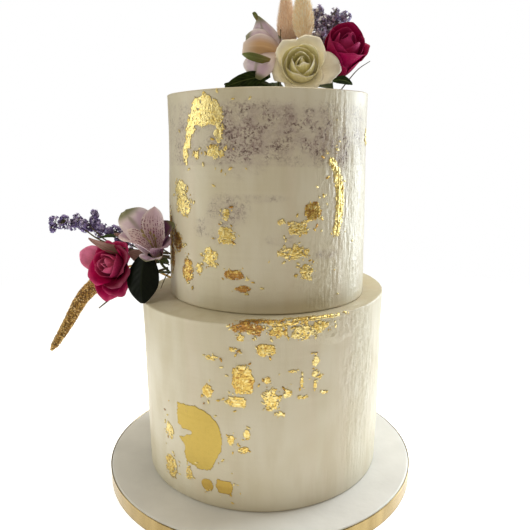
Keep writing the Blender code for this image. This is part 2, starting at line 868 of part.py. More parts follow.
LEAVES = (
    Leaf("leaf_top_left", (8, -51.5, 350.5), (-9, -56, 347.5), (-26, -60, 341.6), (-0.1, -0.35, 1), 11, 1),
    Leaf("leaf_top_left_back", (12, -20, 345), (-6, -26, 349), (-28, -34, 346), (0.3, -1, 0.4), 13, 2),
    Leaf("leaf_top_right", (54, -63, 345.5), (61, -66, 346), (68.5, -65, 343), (0.1, -0.4, 1), 6, 0.6),
    Leaf("leaf_top_back", (42, 4, 343.5), (52, 14, 349), (64, 27, 348), (0.7, -0.7, 0.2), 17, 2),
    Leaf("leaf_top_back_left", (20, 4, 343.5), (10, 13, 349), (-4, 22, 347), (0.7, 0.7, 0.2), 16, 2),
    Leaf("leaf_side_dark", (-94, -37, 200), (-99, -44, 186), (-99, -47, 168.5), (1, -0.2, 0.25), 22, 2),
    Leaf("leaf_side_back", (-86, 18, 190), (-99, 24, 191), (-115, 28, 184), (0.2, 1, 0.3), 16, 2),
    Leaf("leaf_side_upper", (-114, -9, 219), (-127, -13, 221), (-141, -15, 219.5), (0.25, 1, 0.2), 7, 1),
)


def leaf_surface(leaf):
    """The middle surface of a pointed leaf, folded along its rib and waved at its edge."""
    rib = knots_from((leaf.base, leaf.middle, leaf.tip))
    spine = (rib[2] - rib[0]).normalized()
    side = Vector(leaf.across)
    side = (side - spine * side.dot(spine)).normalized()
    up = side.cross(spine)

    def point_at(across, along):
        swell = math.sin(math.pi * (0.04 + 0.94 * along))
        place = rib[0] * (1 - along) ** 2 + rib[2] * along**2
        place = place + (rib[1] * 2 - rib[0] * 0.5 - rib[2] * 0.5) * 2 * along * (1 - along)
        wave = 0.12 * leaf.fold * math.sin(11 * along) * across
        fold = (leaf.fold * abs(across) * swell + wave) * MM
        return place + side * (leaf.width / 2 * MM * (swell**0.8 + 0.03) * across) + up * fold

    return point_at


def build_leaves():
    for leaf in LEAVES:
        smooth_rounds(add_object(leaf.name, sheet(leaf_surface(leaf), 2, 6, LEAF_THICKNESS), "leaf green"))


def build_cake():
    clear_scene()
    build_drum()
    build_ribbon()
    build_tier("bottom_tier", BOTTOM_TIER, BOTTOM_FLAKES, HALF_DISC_PLACE, HALF_DISC_SHARES)
    build_tier("top_tier", TOP_TIER, TOP_FLAKES, ARCH_PLACE, ARCH_SHARES)
    build_roses()
    build_lilies()
    build_bunny_tails()
    build_sea_lavenders()
    build_millet()
    build_leaves()


build_cake()
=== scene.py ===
# %% [markdown]
# # A two-tier wedding cake with gold leaf and fresh flowers
# The cake is two tall drums of buttercream on a covered board. The cream is scraped so thin near the
# top that crumb shows through, torn gold leaf runs down the front, and roses, Peruvian lilies, sea
# lavender and dried grasses sit on top and at one side. The solids are already made, so this lesson
# dresses them: it loads them first, and every piece below keeps the place that its solid has.

# %% Load the solids
import math
import random
from dataclasses import dataclass

import bmesh
import bpy
import numpy as np
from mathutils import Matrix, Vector, noise


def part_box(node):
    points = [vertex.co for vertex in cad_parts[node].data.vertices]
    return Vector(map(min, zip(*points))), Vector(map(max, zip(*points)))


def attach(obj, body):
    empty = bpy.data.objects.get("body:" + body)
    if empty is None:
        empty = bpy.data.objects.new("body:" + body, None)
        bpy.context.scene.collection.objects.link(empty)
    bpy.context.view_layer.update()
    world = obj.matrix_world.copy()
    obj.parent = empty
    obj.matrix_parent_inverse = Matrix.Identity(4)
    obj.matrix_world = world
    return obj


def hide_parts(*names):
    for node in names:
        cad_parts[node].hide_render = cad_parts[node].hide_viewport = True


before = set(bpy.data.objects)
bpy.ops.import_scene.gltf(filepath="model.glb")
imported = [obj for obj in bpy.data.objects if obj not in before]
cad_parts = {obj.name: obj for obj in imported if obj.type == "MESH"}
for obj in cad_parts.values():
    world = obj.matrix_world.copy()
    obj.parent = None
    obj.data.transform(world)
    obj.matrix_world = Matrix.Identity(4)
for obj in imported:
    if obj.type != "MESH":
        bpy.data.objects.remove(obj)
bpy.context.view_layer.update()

MM = 0.001

# %% [markdown]
# ## The camera
# A photograph taken from half a metre away shows strong perspective: the board opens out below and
# the top tier narrows. A camera at the right distance matters more than any other choice, so it comes
# first, and each piece can be checked against the photograph as soon as it exists.

# %% Place the camera
CAMERA_PLACE = (0, -0.497, 0.3018)
CAMERA_PITCH = 0.217
CAMERA_YAW = 0.009
FRAME_WIDTH = 530
FOCAL_WIDTH = 560
SENSOR_WIDTH = 36


def linked(name, data):
    """A new object of the given data, in the scene."""
    made = bpy.data.objects.new(name, data)
    bpy.context.scene.collection.objects.link(made)
    return made


camera_data = bpy.data.cameras.new("camera")
camera_data.sensor_width = SENSOR_WIDTH
camera_data.lens = SENSOR_WIDTH * FOCAL_WIDTH / FRAME_WIDTH
camera_data.clip_start = 0.01
camera = linked("camera", camera_data)
camera.location = CAMERA_PLACE
camera.rotation_euler = (math.pi / 2 - CAMERA_PITCH, 0, -CAMERA_YAW)
bpy.context.scene.camera = camera
print("camera lens", round(camera_data.lens, 2), "mm")

# %% [markdown]
# ## Shader maths as expressions
# A material's pattern is arithmetic on masks and noises. Written as nodes it is hard to read, so a
# small class wraps a socket and lets Python's own operators add the Math nodes.

# %% Sockets that can be added and multiplied
class Wire:
    """A socket of a material whose operators add Math nodes."""

    def __init__(self, finish, socket):
        self.finish = finish
        self.socket = socket

    def __add__(self, other):
        return self.finish.maths("ADD", self, other)

    def __sub__(self, other):
        return self.finish.maths("SUBTRACT", self, other)

    def __rsub__(self, other):
        return self.finish.maths("SUBTRACT", other, self)

    def __mul__(self, other):
        return self.finish.maths("MULTIPLY", self, other)

    def __abs__(self):
        return self.finish.maths("ABSOLUTE", self)

    def sine(self):
        return self.finish.maths("SINE", self)

    __radd__ = __add__
    __rmul__ = __mul__


class Finish:
    """A material under construction."""

    def __init__(self, name, **constants):
        self.material = bpy.data.materials.new(name)
        self.material.use_nodes = True
        self.tree = self.material.node_tree
        self.shader = self.tree.nodes["Principled BSDF"]
        self.place = self.node("ShaderNodeTexCoord", output="Object")
        for label, value in constants.items():
            self.shader.inputs[label.replace("_", " ").title().replace("Ior", "IOR")].default_value = value

    def node(self, kind, settings=None, inputs=None, output=0):
        """Adds any node: settings first, then the values or links of its sockets."""
        made = self.tree.nodes.new(kind)
        for label, value in (settings or {}).items():
            if label == "stops":
                self.set_stops(made.color_ramp, value)
            else:
                setattr(made, label, value)
        for label, value in (inputs or {}).items():
            self.feed(made.inputs[label], value)
        return Wire(self, made.outputs[output])

    def feed(self, socket, value):
        if isinstance(value, Wire):
            self.tree.links.new(value.socket, socket)
        else:
            socket.default_value = value

    def set_stops(self, ramp, stops):
        while len(ramp.elements) < len(stops):
            ramp.elements.new(1)
        for element, (place, colour) in zip(ramp.elements, stops):
            element.position = place
            element.color = (*colour, 1)

    def maths(self, operation, *values):
        return self.node("ShaderNodeMath", {"operation": operation}, dict(enumerate(values)))

    def step(self, value, low, high):
        """0 below low and 1 above high, with a smooth slope between."""
        inputs = {"Value": value, "From Min": low, "From Max": high}
        return self.node("ShaderNodeMapRange", {"interpolation_type": "SMOOTHSTEP"}, inputs)

    def grain(self, size, detail=3, stretch=(1, 1, 1), offset=0.0, roughness=0.5):
        """Noise whose lumps are about size across, in metres."""
        mapped = self.node("ShaderNodeMapping", None, {"Vector": self.place, "Scale": stretch})
        moved = self.node("ShaderNodeVectorMath", {"operation": "ADD"}, {0: mapped, 1: (offset, 0, 0)})
        inputs = {"Vector": moved, "Scale": 1 / size, "Detail": detail, "Roughness": roughness}
        return self.node("ShaderNodeTexNoise", None, inputs)

    def mark(self, name):
        """A number that the mesh keeps at each point."""
        return self.node("ShaderNodeAttribute", {"attribute_name": name}, output="Fac")

    def blend(self, amount, first, second):
        """A colour between two colours."""
        first = (*first, 1) if isinstance(first, tuple) else first
        second = (*second, 1) if isinstance(second, tuple) else second
        return self.node("ShaderNodeMix", {"data_type": "RGBA"}, {0: amount, 6: first, 7: second}, output=2)

    def ramp(self, amount, stops):
        return self.node("ShaderNodeValToRGB", {"stops": stops}, {"Fac": amount}, output="Color")

    def relief(self, height, depth, strength=1.0):
        """Bumps that stand depth metres high where height is 1."""
        inputs = {"Height": height, "Distance": depth, "Strength": strength}
        return self.node("ShaderNodeBump", None, inputs, output="Normal")

    def paint(self, **sockets):
        for label, value in sockets.items():
            self.feed(self.shader.inputs[label.replace("_", " ").title()], value)
        return self.material


print("shader helpers ready")

# %% [markdown]
# ## Meshes from grids
# Nearly everything here is a grid of points bent into shape: a tier's side, a petal, a leaf, a ribbon.
# Each grid also keeps a few numbers at its points, such as how far along the petal a point lies, so
# that the material can follow the form. A petal gets two faces and a rim, because a real one is thin
# but closed, and a closed shell can be lit, exported and printed.

# %% Grid helpers
def grid_faces(rows, columns, first=0, wrap=False):
    """Quads between the points of a grid, row after row."""
    faces = []
    spans = columns if wrap else columns - 1
    for row in range(rows - 1):
        for column in range(spans):
            after = (column + 1) % columns
            low = first + row * columns
            high = low + columns
            faces.append((low + column, low + after, high + after, high + column))
    return faces


def barrel_faces(rows, columns):
    """Quads round a grid whose rows are closed rings, and a cap on its first and its last ring."""
    last = (rows - 1) * columns
    faces = grid_faces(rows, columns, wrap=True)
    faces.append(tuple(reversed(range(columns))))
    faces.append(tuple(range(last, last + columns)))
    return faces


class Gathering:
    """Collects shapes into one mesh and keeps named numbers at every point."""

    def __init__(self, *marks):
        self.points = []
        self.faces = []
        self.marks = {name: [] for name in marks}

    def add(self, points, faces, **marks):
        first = len(self.points)
        self.points.extend(points)
        self.faces.extend([tuple(first + corner for corner in face) for face in faces])
        for name, values in self.marks.items():
            given = marks.get(name, 0.0)
            values.extend([given] * len(points) if isinstance(given, (int, float)) else given)

    def add_sheet(self, surface, columns, rows, thickness, rim_share=0.5, place=None, **marks):
        """Adds a thin solid about a surface, moved to a flower's place if one is given."""
        points, faces, across, along = sheet_shape(surface, columns, rows, thickness, rim_share)
        points = points if place is None else placed(points, *place)
        self.add(points, faces, across=across, along=along, **marks)

    def finish(self, name, material):
        mesh = bpy.data.meshes.new(name)
        mesh.from_pydata([tuple(point) for point in self.points], [], self.faces)
        for label, values in self.marks.items():
            layer = mesh.attributes.new(label, "FLOAT", "POINT")
            layer.data.foreach_set("value", np.array(values, dtype=np.float32))
        mesh.materials.append(material)
        mesh.shade_smooth()
        return linked(name, mesh)


def plain_piece(name, material, shape, **marks):
    """One shape, given as its points and faces, as a piece of its own."""
    piece = Gathering(*marks)
    piece.add(*shape, **marks)
    return piece.finish(name, material)


def sheet_shape(surface, columns, rows, thickness, rim_share=0.5):
    """A thin closed solid about surface(across, along), thinner towards its rim, and its two marks."""
    across = np.linspace(-1, 1, columns)
    along = np.linspace(0, 1, rows)
    middle = np.array([[surface(a, b) for a in across] for b in along], dtype=float)
    normal = np.cross(np.gradient(middle, axis=1), np.gradient(middle, axis=0))
    normal /= np.linalg.norm(normal, axis=2, keepdims=True) + 1e-12
    taper = 1 - (1 - rim_share) * np.maximum(np.abs(across)[None, :] ** 4, along[:, None] ** 6)
    lift = normal * (thickness / 2 * taper)[..., None]
    points = np.concatenate([(middle + lift).reshape(-1, 3), (middle - lift).reshape(-1, 3)])
    count = rows * columns
    faces = grid_faces(rows, columns)
    faces += [tuple(reversed(face)) for face in grid_faces(rows, columns, count)]
    rim = list(range(columns))
    rim += [row * columns + columns - 1 for row in range(1, rows)]
    rim += [count - 1 - k for k in range(1, columns)]
    rim += [row * columns for row in reversed(range(1, rows - 1))]
    for here, after in zip(rim, rim[1:] + rim[:1]):
        faces.append((after, here, count + here, count + after))
    marks_across = np.tile(np.tile(across, rows), 2)
    marks_along = np.tile(np.repeat(along, columns), 2)
    return points, faces, marks_across, marks_along


def curve_points(knots, count):
    """Points on a smooth curve through the knots."""
    points = []
    for k in range(count):
        place = k / (count - 1) * (len(knots) - 1)
        span = min(int(place), len(knots) - 2)
        t = place - span
        b = knots[span]
        c = knots[span + 1]
        a = knots[span - 1] if span else b * 2 - c
        d = knots[span + 2] if span + 2 < len(knots) else c * 2 - b
        bent = (2 * a - 5 * b + 4 * c - d) * t**2 + (3 * b - a - 3 * c + d) * t**3
        points.append(0.5 * (2 * b + (c - a) * t + bent))
    return points


def tube_shape(knots, radius_at, count, sides):
    """A capped tube along a curve through the knots, radius_at(share) thick."""
    path = curve_points(knots, count)
    points = []
    side = None
    for k, here in enumerate(path):
        ahead = (path[min(k + 1, count - 1)] - path[max(k - 1, 0)]).normalized()
        side = ahead.orthogonal() if side is None else side
        side = (side - ahead * side.dot(ahead)).normalized()
        other = ahead.cross(side)
        for s in range(sides):
            turn = 2 * math.pi * s / sides
            reach = radius_at(k / (count - 1))
            points.append(here + reach * (math.cos(turn) * side + math.sin(turn) * other))
    return points, barrel_faces(count, sides)


def knots_from(places):
    return [Vector(place) * MM for place in places]


def ride_root(piece, slot, *nodes):
    """Makes a finished piece part of the cake, in the place of the named solids."""
    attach(piece, "root")
    if nodes:
        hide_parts(*nodes)
    print(piece.name, len(piece.data.polygons), "faces")


print("grid helpers ready")

# %% [markdown]
# ## The tiers
# Each tier is a turned shape whose side wobbles a little, as scraped cream does. The same few sizes
# and waves as in the solids give its surface at any angle and height, so that everything laid on it
# later, such as gold leaf, can ask where the cream is.

# %% The cream's surface
@dataclass
class Tier:
    """Where one tier's buttercream is at any angle and height."""

    centre: Vector
    base: float
    height: float
    radius_low: float
    radius_high: float
    flat_radius: float
    rise: float
    phase: float

    def radius(self, angle, height):
        share = height / self.height
        wobble = math.sin(2 * angle + self.phase) + 0.7 * math.sin(3 * angle - self.phase + 4 * share)
        wobble += 0.4 * math.sin(7 * angle + 9 * share)
        return self.radius_low + (self.radius_high - self.radius_low) * share + TIER_WOBBLE * wobble

    def rim(self, angle):
        return self.rise * math.cos(angle) + RIM_WAVE * math.sin(4 * angle + self.phase)

    def side_point(self, angle, height, proud=0.0):
        reach = self.radius(angle, height) + proud
        out = self.centre + reach * Vector((math.cos(angle), math.sin(angle)))
        return Vector((out.x, out.y, self.base + height))

    def top_height(self, angle, reach):
        """How high the top is at a distance from the middle: flat inside, level with the rim outside."""
        edge = self.radius(angle, self.height) - TIER_EDGE
        return self.height + self.rim(angle) * smooth_step(reach, self.flat_radius, edge)

    def skin_point(self, angle, height, proud):
        """Like side_point, but a height past the rim runs on over it and inwards along the top."""
        past = height - (self.height + self.rim(angle) - TIER_EDGE)
        if past <= 0:
            return self.side_point(angle, height, proud)
        bend = min(past / TIER_EDGE, math.pi / 2)
        inward = TIER_EDGE * (1 - math.cos(bend)) + max(0, past - TIER_EDGE * math.pi / 2)
        reach = self.radius(angle, self.height) - inward
        up = self.top_height(angle, reach) - TIER_EDGE * (1 - math.sin(bend)) + proud * math.sin(bend)
        out = self.centre + (reach + proud * math.cos(bend)) * Vector((math.cos(angle), math.sin(angle)))
        return Vector((out.x, out.y, self.base + up))


def smooth_step(value, low, high):
    share = min(1.0, max(0.0, (value - low) / (high - low)))
    return share * share * (3 - 2 * share)


TIER_WOBBLE = 0.45 * MM
TIER_EDGE = 1.5 * MM
RIM_WAVE = 0.3 * MM
drum_low, drum_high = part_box("cake_drum")
DRUM_TOP = drum_high[2]
TIER_GAP = 0.3 * MM
BOTTOM_TIER = Tier(
    Vector((2.3 * MM, 0)), DRUM_TOP + TIER_GAP, 157.2 * MM, 106.5 * MM, 107 * MM, 92 * MM, 3 * MM, 0.4
)
TOP_TIER = Tier(
    Vector((6.2 * MM, -3.5 * MM)),
    BOTTOM_TIER.base + BOTTOM_TIER.height + TIER_GAP,
    166.7 * MM,
    85.5 * MM,
    83 * MM,
    70 * MM,
    0.5 * MM,
    2.1,
)
print("top of the upper tier at", round(TOP_TIER.base + TOP_TIER.height, 4))

# %% [markdown]
# ## Where the cream is thin and where it is dry
# Two masks drive both the relief and the colour. One says where the scraper took the cream down to
# the crumb, mostly in a band round the upper tier. The other says where it dried into fine upright
# wrinkles, down the right of both tiers. A patch is a soft ellipse, given by its angle, its height,
# its width and how tall it is.

# %% Soft patches on a side
@dataclass
class Patch:
    angle_deg: float
    height: float
    width: float
    tall: float
    strength: float = 1.0


def patch_mask(patches, tier, angle, height):
    """The strongest patch at a place on the side, from 0 to 1."""
    best = 0.0
    for patch in patches:
        turned = (angle - math.radians(patch.angle_deg) + math.pi) % (2 * math.pi) - math.pi
        aside = turned * tier.radius_low / (patch.width / 2 * MM)
        above = (height - patch.height * MM) / (patch.tall / 2 * MM)
        away = math.hypot(aside, above)
        best = max(best, patch.strength * (1 - smooth_step(away, 0.45, 1.1)))
    return best


BARE_BAND_LOW = 111 * MM
BARE_BAND_HIGH = 156 * MM
BARE_PATCHES = (
    Patch(-103, 133, 56, 62, 1.0),
    Patch(-84, 140, 44, 50, 0.95),
    Patch(-66, 134, 44, 44, 0.8),
    Patch(-50, 122, 36, 34, 0.55),
    Patch(-30, 140, 30, 40, 0.3),
    Patch(-142, 128, 26, 44, 0.4),
    Patch(-112, 78, 44, 30, 0.5),
    Patch(-120, 64, 44, 26, 0.45),
    Patch(-58, 45, 26, 9, 0.5),
    Patch(-98, 88, 60, 8, 0.3),
    Patch(-84, 58, 26, 12, 0.25),
    Patch(35, 134, 80, 50, 0.9),
    Patch(95, 128, 70, 60, 0.8),
    Patch(160, 134, 90, 50, 0.9),
    Patch(120, 60, 40, 40, 0.4),
)
DRY_PATCHES_TOP = (
    Patch(-52, 100, 46, 170, 1.0),
    Patch(-30, 80, 60, 180, 0.75),
    Patch(-60, 28, 50, 70, 1.0),
    Patch(60, 90, 150, 150, 0.6),
)
DRY_PATCHES_BOTTOM = (
    Patch(-42, 90, 60, 190, 0.9),
    Patch(-58, 148, 70, 26, 1.0),
    Patch(-20, 60, 60, 150, 0.6),
    Patch(70, 80, 150, 140, 0.6),
)


def bare_mask(angle, height):
    """How far the cream is scraped down to the crumb on the upper tier."""
    edge = BARE_BAND_LOW + 1.2 * MM * math.sin(3 * angle + 1)
    low = smooth_step(height, edge - 0.4 * MM, edge + 0.8 * MM)
    band = low * (1 - smooth_step(height, BARE_BAND_HIGH - 4 * MM, BARE_BAND_HIGH + 5 * MM))
    spots = patch_mask(BARE_PATCHES, TOP_TIER, angle, height)
    if height > edge:
        return band * (0.25 + 0.75 * spots)
    return spots * 0.9


print("bare at the band's middle:", round(bare_mask(math.radians(-95), 0.135), 2))

# %% [markdown]
# ## Buttercream relief
# The relief is real geometry: a grid fine enough for the scraper's ridges, the pits of the crumb and
# the wrinkles. Noise from mathutils gives each of them its own size and direction. The wrinkles run
# upright because the scraper turned round the cake, so their noise is stretched along the height.

# %% Build a tier's skin
def side_relief(tier, angle, height, bare, dry):
    """How far the cream stands proud of the plain turned shape, in metres."""
    place = tier.side_point(angle, height)
    slow = noise.noise(place * 45) * 0.25
    bands = noise.noise(Vector((place.x * 8, place.y * 8, height * 420))) * 0.07
    upright = Vector((place.x * 560, place.y * 560, height * 70))
    wrinkle = (noise.noise(upright) + 0.6 * noise.noise(upright * 2.1)) * 0.46 * dry
    crackle = abs(noise.noise(place * 300 + Vector((9, 2, 5)))) * 0.75 * dry
    pits = noise.noise(place * 620) + 0.7 * noise.noise(place * 1250)
    crumb = (-0.5 + 0.42 * pits) * bare
    ripple = noise.noise(Vector((place.x * 160, place.y * 160, height * 24))) * 0.07
    below = (tier.height + tier.rim(angle) - height) / (1.6 * MM)
    lip = (0.45 + 0.5 * noise.noise(place * 110)) * math.exp(-(below**2))
    return (slow + bands + wrinkle + crackle + crumb + ripple + lip) * MM


def build_tier(name, tier, columns, rows, bare_at, dry_patches, rim_rows=5, top_rows=20):
    """The whole skin: underside, side, rounded rim and top, as one closed mesh."""
    foot = 0.8 * MM
    edge = TIER_EDGE
    turns = [2 * math.pi * k / columns for k in range(columns)]
    points = []
    bare_marks = []
    dry_marks = []

    def add_ring(heights, proud_at, flat=1.0):
        for angle in turns:
            height = heights(angle)
            bare = bare_at(angle, height)
            dry = patch_mask(dry_patches, tier, angle, height)
            proud = side_relief(tier, angle, height, bare, dry) * flat + proud_at
            points.append(tier.side_point(angle, height, proud))
            bare_marks.append(bare)
            dry_marks.append(dry)

    add_ring(lambda angle: 0.0, -foot)
    for row in range(rows):
        share = row / (rows - 1)
        add_ring(lambda a, s=share: foot + (tier.height + tier.rim(a) * s - edge - foot) * s, 0.0)
    for k in range(1, rim_rows + 1):
        bend = math.pi / 2 * k / rim_rows
        rise = -edge * (1 - math.sin(bend))
        tuck = -edge * (1 - math.cos(bend))
        add_ring(lambda a, r=rise: tier.height + tier.rim(a) + r, tuck, 1 - 0.6 * k / rim_rows)
    rim_reach = [tier.radius(a, tier.height) - edge for a in turns]
    for k in range(1, top_rows + 1):
        inward = (k / top_rows) ** 0.8 * 0.985
        for angle, reach in zip(turns, rim_reach):
            here = reach * (1 - inward)
            swirl = noise.noise(Vector((here * 90, angle * 1.5, tier.phase))) * 0.35 * MM
            height = tier.top_height(angle, here) + swirl * smooth_step(inward, 0, 0.1)
            out = tier.centre + here * Vector((math.cos(angle), math.sin(angle)))
            points.append(Vector((out.x, out.y, tier.base + height)))
            bare_marks.append(0.0)
            dry_marks.append(0.25)
    shape = (points, barrel_faces(len(points) // columns, columns))
    return plain_piece(name, BUTTERCREAM, shape, bare=bare_marks, dry=dry_marks)


# %% [markdown]
# ## The cream's finish
# Cream buttercream is warm and slightly glossy where a hot scraper passed. Its colour drifts a little,
# the thin places let grey-mauve crumb through, and the crumb itself is a scatter of brown specks with
# pale fat between them. The specks come from two noises multiplied, so that they gather in clumps.

# %% Buttercream material
CREAM = (0.64, 0.585, 0.44)
CREAM_LIGHT = (0.70, 0.655, 0.53)
CREAM_DEEP = (0.54, 0.47, 0.31)
CREAM_ROSY = (0.66, 0.55, 0.43)
CRUMB_FILM = (0.47, 0.395, 0.345)
CRUMB_FINE = (0.27, 0.19, 0.18)
CRUMB_SPECK = (0.11, 0.065, 0.06)


def scraped_buttercream():
    finish = Finish("scraped_buttercream", ior=1.45)
    bare = finish.mark("bare")
    dry = finish.mark("dry")
    drift = finish.step(finish.grain(0.05, 2), 0.3, 0.75)
    smear = finish.step(finish.grain(0.012, 3, stretch=(1, 1, 0.22), offset=3), 0.4, 0.72)
    cream = finish.blend(drift, CREAM, CREAM_LIGHT)
    cream = finish.blend(smear * 0.3, cream, CREAM_DEEP)
    bands = finish.step(finish.grain(0.022, 2, stretch=(1, 1, 0.04), offset=41), 0.45, 0.7)
    cream = finish.blend(bands * 0.3, cream, CREAM_ROSY)
    thin = finish.step(finish.grain(0.009, 4, offset=7), 0.38, 0.66)
    film = finish.blend(bare * (0.45 + 0.5 * thin), cream, CRUMB_FILM)
    clumps = finish.step(finish.grain(0.010, 2, offset=11), 0.36, 0.6)
    fine_specks = finish.step(finish.grain(0.0017, 4, offset=29, roughness=0.6), 0.46, 0.6)
    speckled = finish.blend(finish.maths("MINIMUM", bare * clumps * fine_specks, 0.75), film, CRUMB_FINE)
    specks = finish.step(finish.grain(0.0026, 4, offset=5, roughness=0.6), 0.52, 0.64)
    pitted = finish.maths("MINIMUM", bare * clumps * specks * 1.2, 0.85)
    speckled = finish.blend(pitted, speckled, CRUMB_SPECK)
    streaks = finish.grain(0.0022, 3, stretch=(1, 1, 0.12), offset=17)
    fine = finish.grain(0.0011, 2, offset=23)
    height = streaks * (0.18 + dry * 1.5) + fine * (0.08 + bare * 0.5 + dry * 0.6)
    gloss = 0.36 + 0.22 * bare + 0.16 * smear - 0.1 * dry
    return finish.paint(base_color=speckled, roughness=gloss, normal=finish.relief(height, 0.0008, 0.6))


BUTTERCREAM = scraped_buttercream()
print("cream finish:", BUTTERCREAM.name)

# %% Make both tiers
bottom_cream = build_tier("buttercream_bottom", BOTTOM_TIER, 460, 150, lambda a, h: 0.0, DRY_PATCHES_BOTTOM)
ride_root(bottom_cream, "buttercream", "bottom_tier")
top_cream = build_tier("buttercream_top", TOP_TIER, 460, 160, bare_mask, DRY_PATCHES_TOP, top_rows=26)
ride_root(top_cream, "buttercream", "top_tier")

# %% [markdown]
# ## Gold leaf
# Leaf is beaten thinner than paper, so it tears raggedly, clings to the cream and crumples where it
# doesn't. Each flake here is a fine grid laid on the tier, cut to a torn outline and lifted in
# crumpled ridges. The outline is the flake's rough shape with noise added, and cells outside it are
# left out. The arch, the half disc, the sliver and the straight bits have outlines of their own, and
# the rest are ragged ellipses. A flake that is hardly torn lies flat and smooth.

# %% Flake outlines
@dataclass
class Flake:
    """A flake by its middle on the tier's side, its size in millimetres, and how torn it is."""

    angle_deg: float
    height: float
    width: float
    tall: float
    tear: float = 0.3
    tone: float = 0.5
    shape: tuple = ()


ARCH = (
    (-0.13, 0.44), (0.1, 0.5), (0.4, 0.36), (0.48, 0.1), (0.4, -0.25), (0.3, -0.12), (0.3, 0.06),
    (-0.12, 0.04), (-0.3, -0.3), (-0.36, -0.5), (-0.5, -0.46), (-0.38, -0.05), (-0.28, 0.2),
)
HALF_DISC = (
    (-0.54, 0.47), (0.0, 0.5), (0.28, 0.4), (0.44, 0.24), (0.5, 0.05), (0.47, -0.15), (0.34, -0.34),
    (0.24, -0.5), (0.0, -0.53), (-0.34, -0.47), (-0.4, -0.32), (-0.36, -0.22), (-0.52, -0.1),
    (-0.3, -0.02), (-0.18, 0.03), (-0.2, 0.07), (-0.4, 0.07), (-0.55, 0.12), (-0.56, 0.34),
)
SLIVER = (
    (-0.5, 0.5), (-0.15, 0.47), (0.25, 0.32), (0.46, 0.12), (0.5, -0.1), (0.4, -0.3), (0.12, -0.5),
    (-0.2, -0.47), (-0.02, -0.27), (0.04, -0.05), (0.0, 0.12), (-0.2, 0.32),
)
BAR = ((-0.4, 0.5), (0.35, 0.44), (0.5, 0.05), (0.38, -0.46), (-0.3, -0.5), (-0.48, -0.1))
TOP_FLAKES = (
    Flake(-127, 138, 44, 50, 0.12, 0.55, ARCH),
    Flake(-130, 119, 5.5, 6, 0.5),
    Flake(-118, 122, 14, 10, 0.45, 0.45),
    Flake(-146, 93, 19, 13, 0.4, 0.6),
    Flake(-143, 80, 22, 15, 0.45, 0.55),
    Flake(-52.5, 88, 19, 62, 0.16, 0.42, SLIVER),
    Flake(-67, 78, 14, 14, 0.25, 0.1),
    Flake(-75, 66, 17, 9, 0.3, 0.35, BAR),
    Flake(-77, 48, 21, 11, 0.55, 0.4),
    Flake(-70, 32, 10, 13, 0.45, 0.4),
    Flake(-112, 76, 6, 9, 0.5, 0.45),
    Flake(-112, 60, 14, 13, 0.4, 0.4),
    Flake(-122, 42, 13, 14, 0.4, 0.4),
    Flake(-130, 32, 7, 7, 0.45, 0.4),
    Flake(-108, 30, 18, 7, 0.25, -0.1),
    Flake(-103, 19.7, 12, 5.5, 0.3, -0.15),
    Flake(-139, 29, 13, 18, 0.45, 0.05),
    Flake(-150, 50, 16, 16, 0.5, 0.0),
    Flake(-162, 55, 15, 26, 0.5, -0.15),
    Flake(-158, 34, 11, 20, 0.5, -0.1),
    Flake(-84, 71, 4.5, 4, 0.4),
    Flake(-18, 133, 5, 12, 0.5, 0.5),
)
BOTTOM_FLAKES = (
    Flake(-98, 153, 20, 7, 0.5, -0.15),
    Flake(-93, 151.5, 13, 8, 0.4, -0.1),
    Flake(-84, 150.5, 13, 10, 0.5, 0.2),
    Flake(-74, 148.5, 18, 11, 0.6, 0.45),
    Flake(-66, 151.5, 16, 8, 0.6, 0.35),
    Flake(-67, 158.6, 46, 3, 0.6, 0.4, BAR),
    Flake(-92, 158, 36, 3.4, 0.6, 0.0, BAR),
    Flake(-79, 156, 28, 3.6, 0.6, 0.2, BAR),
    Flake(-74, 162, 26, 3, 0.5, 0.4, BAR),
    Flake(-93, 161.5, 20, 2.6, 0.5, 0.2, BAR),
    Flake(-74, 109, 2.6, 9, 0.5, 0.4),
    Flake(-68, 104, 2.4, 8, 0.5, 0.45),
    Flake(-73, 96, 9, 2.6, 0.5, 0.4),
    Flake(-64, 97, 7, 2.2, 0.5, 0.5),
    Flake(-78, 118, 9, 2.2, 0.5, 0.4),
    Flake(-66, 111, 7, 2.2, 0.5, 0.4),
    Flake(-111, 128, 10, 4.5, 0.6, 0.4),
    Flake(-89, 136, 15, 10, 0.2, 0.3),
    Flake(-99, 145, 6, 5, 0.4, 0.3),
    Flake(-102, 136, 6, 3.5, 0.5, 0.3),
    Flake(-98.3, 111, 18, 21, 0.15, 0.22, BAR),
    Flake(-98, 121, 8, 6, 0.4, 0.4),
    Flake(-113.5, 100, 9, 11, 0.25, 0.3),
    Flake(-101, 94, 17, 8.5, 0.25, 0.35, BAR),
    Flake(-87, 96, 13, 18, 0.5, 0.45),
    Flake(-80, 101, 6, 8, 0.5, 0.5),
    Flake(-88.6, 112, 6, 5, 0.4, 0.3),
    Flake(-68, 124, 6, 9, 0.4, 0.55),
    Flake(-68, 114, 5, 6, 0.4, 0.55),
    Flake(-118, 58.5, 40, 52.5, 0.04, 0.3, HALF_DISC),
    Flake(-136, 54, 10, 13, 0.5, 0.5),
    Flake(-103.5, 62, 6, 9, 0.5, 0.3),
    Flake(-97, 68, 6, 7, 0.45),
    Flake(-83.5, 84, 5.5, 4.5, 0.4, 0.6),
    Flake(-136, 21, 16, 18, 0.45, 0.3),
    Flake(-124, 24, 6, 11, 0.45, 0.3),
    Flake(-114.8, 18.5, 11, 10.5, 0.09, 0.1),
    Flake(-106.8, 20, 15, 12, 0.09, 0.1, BAR),
    Flake(-98, 54, 8, 6, 0.35, 0.3),
)


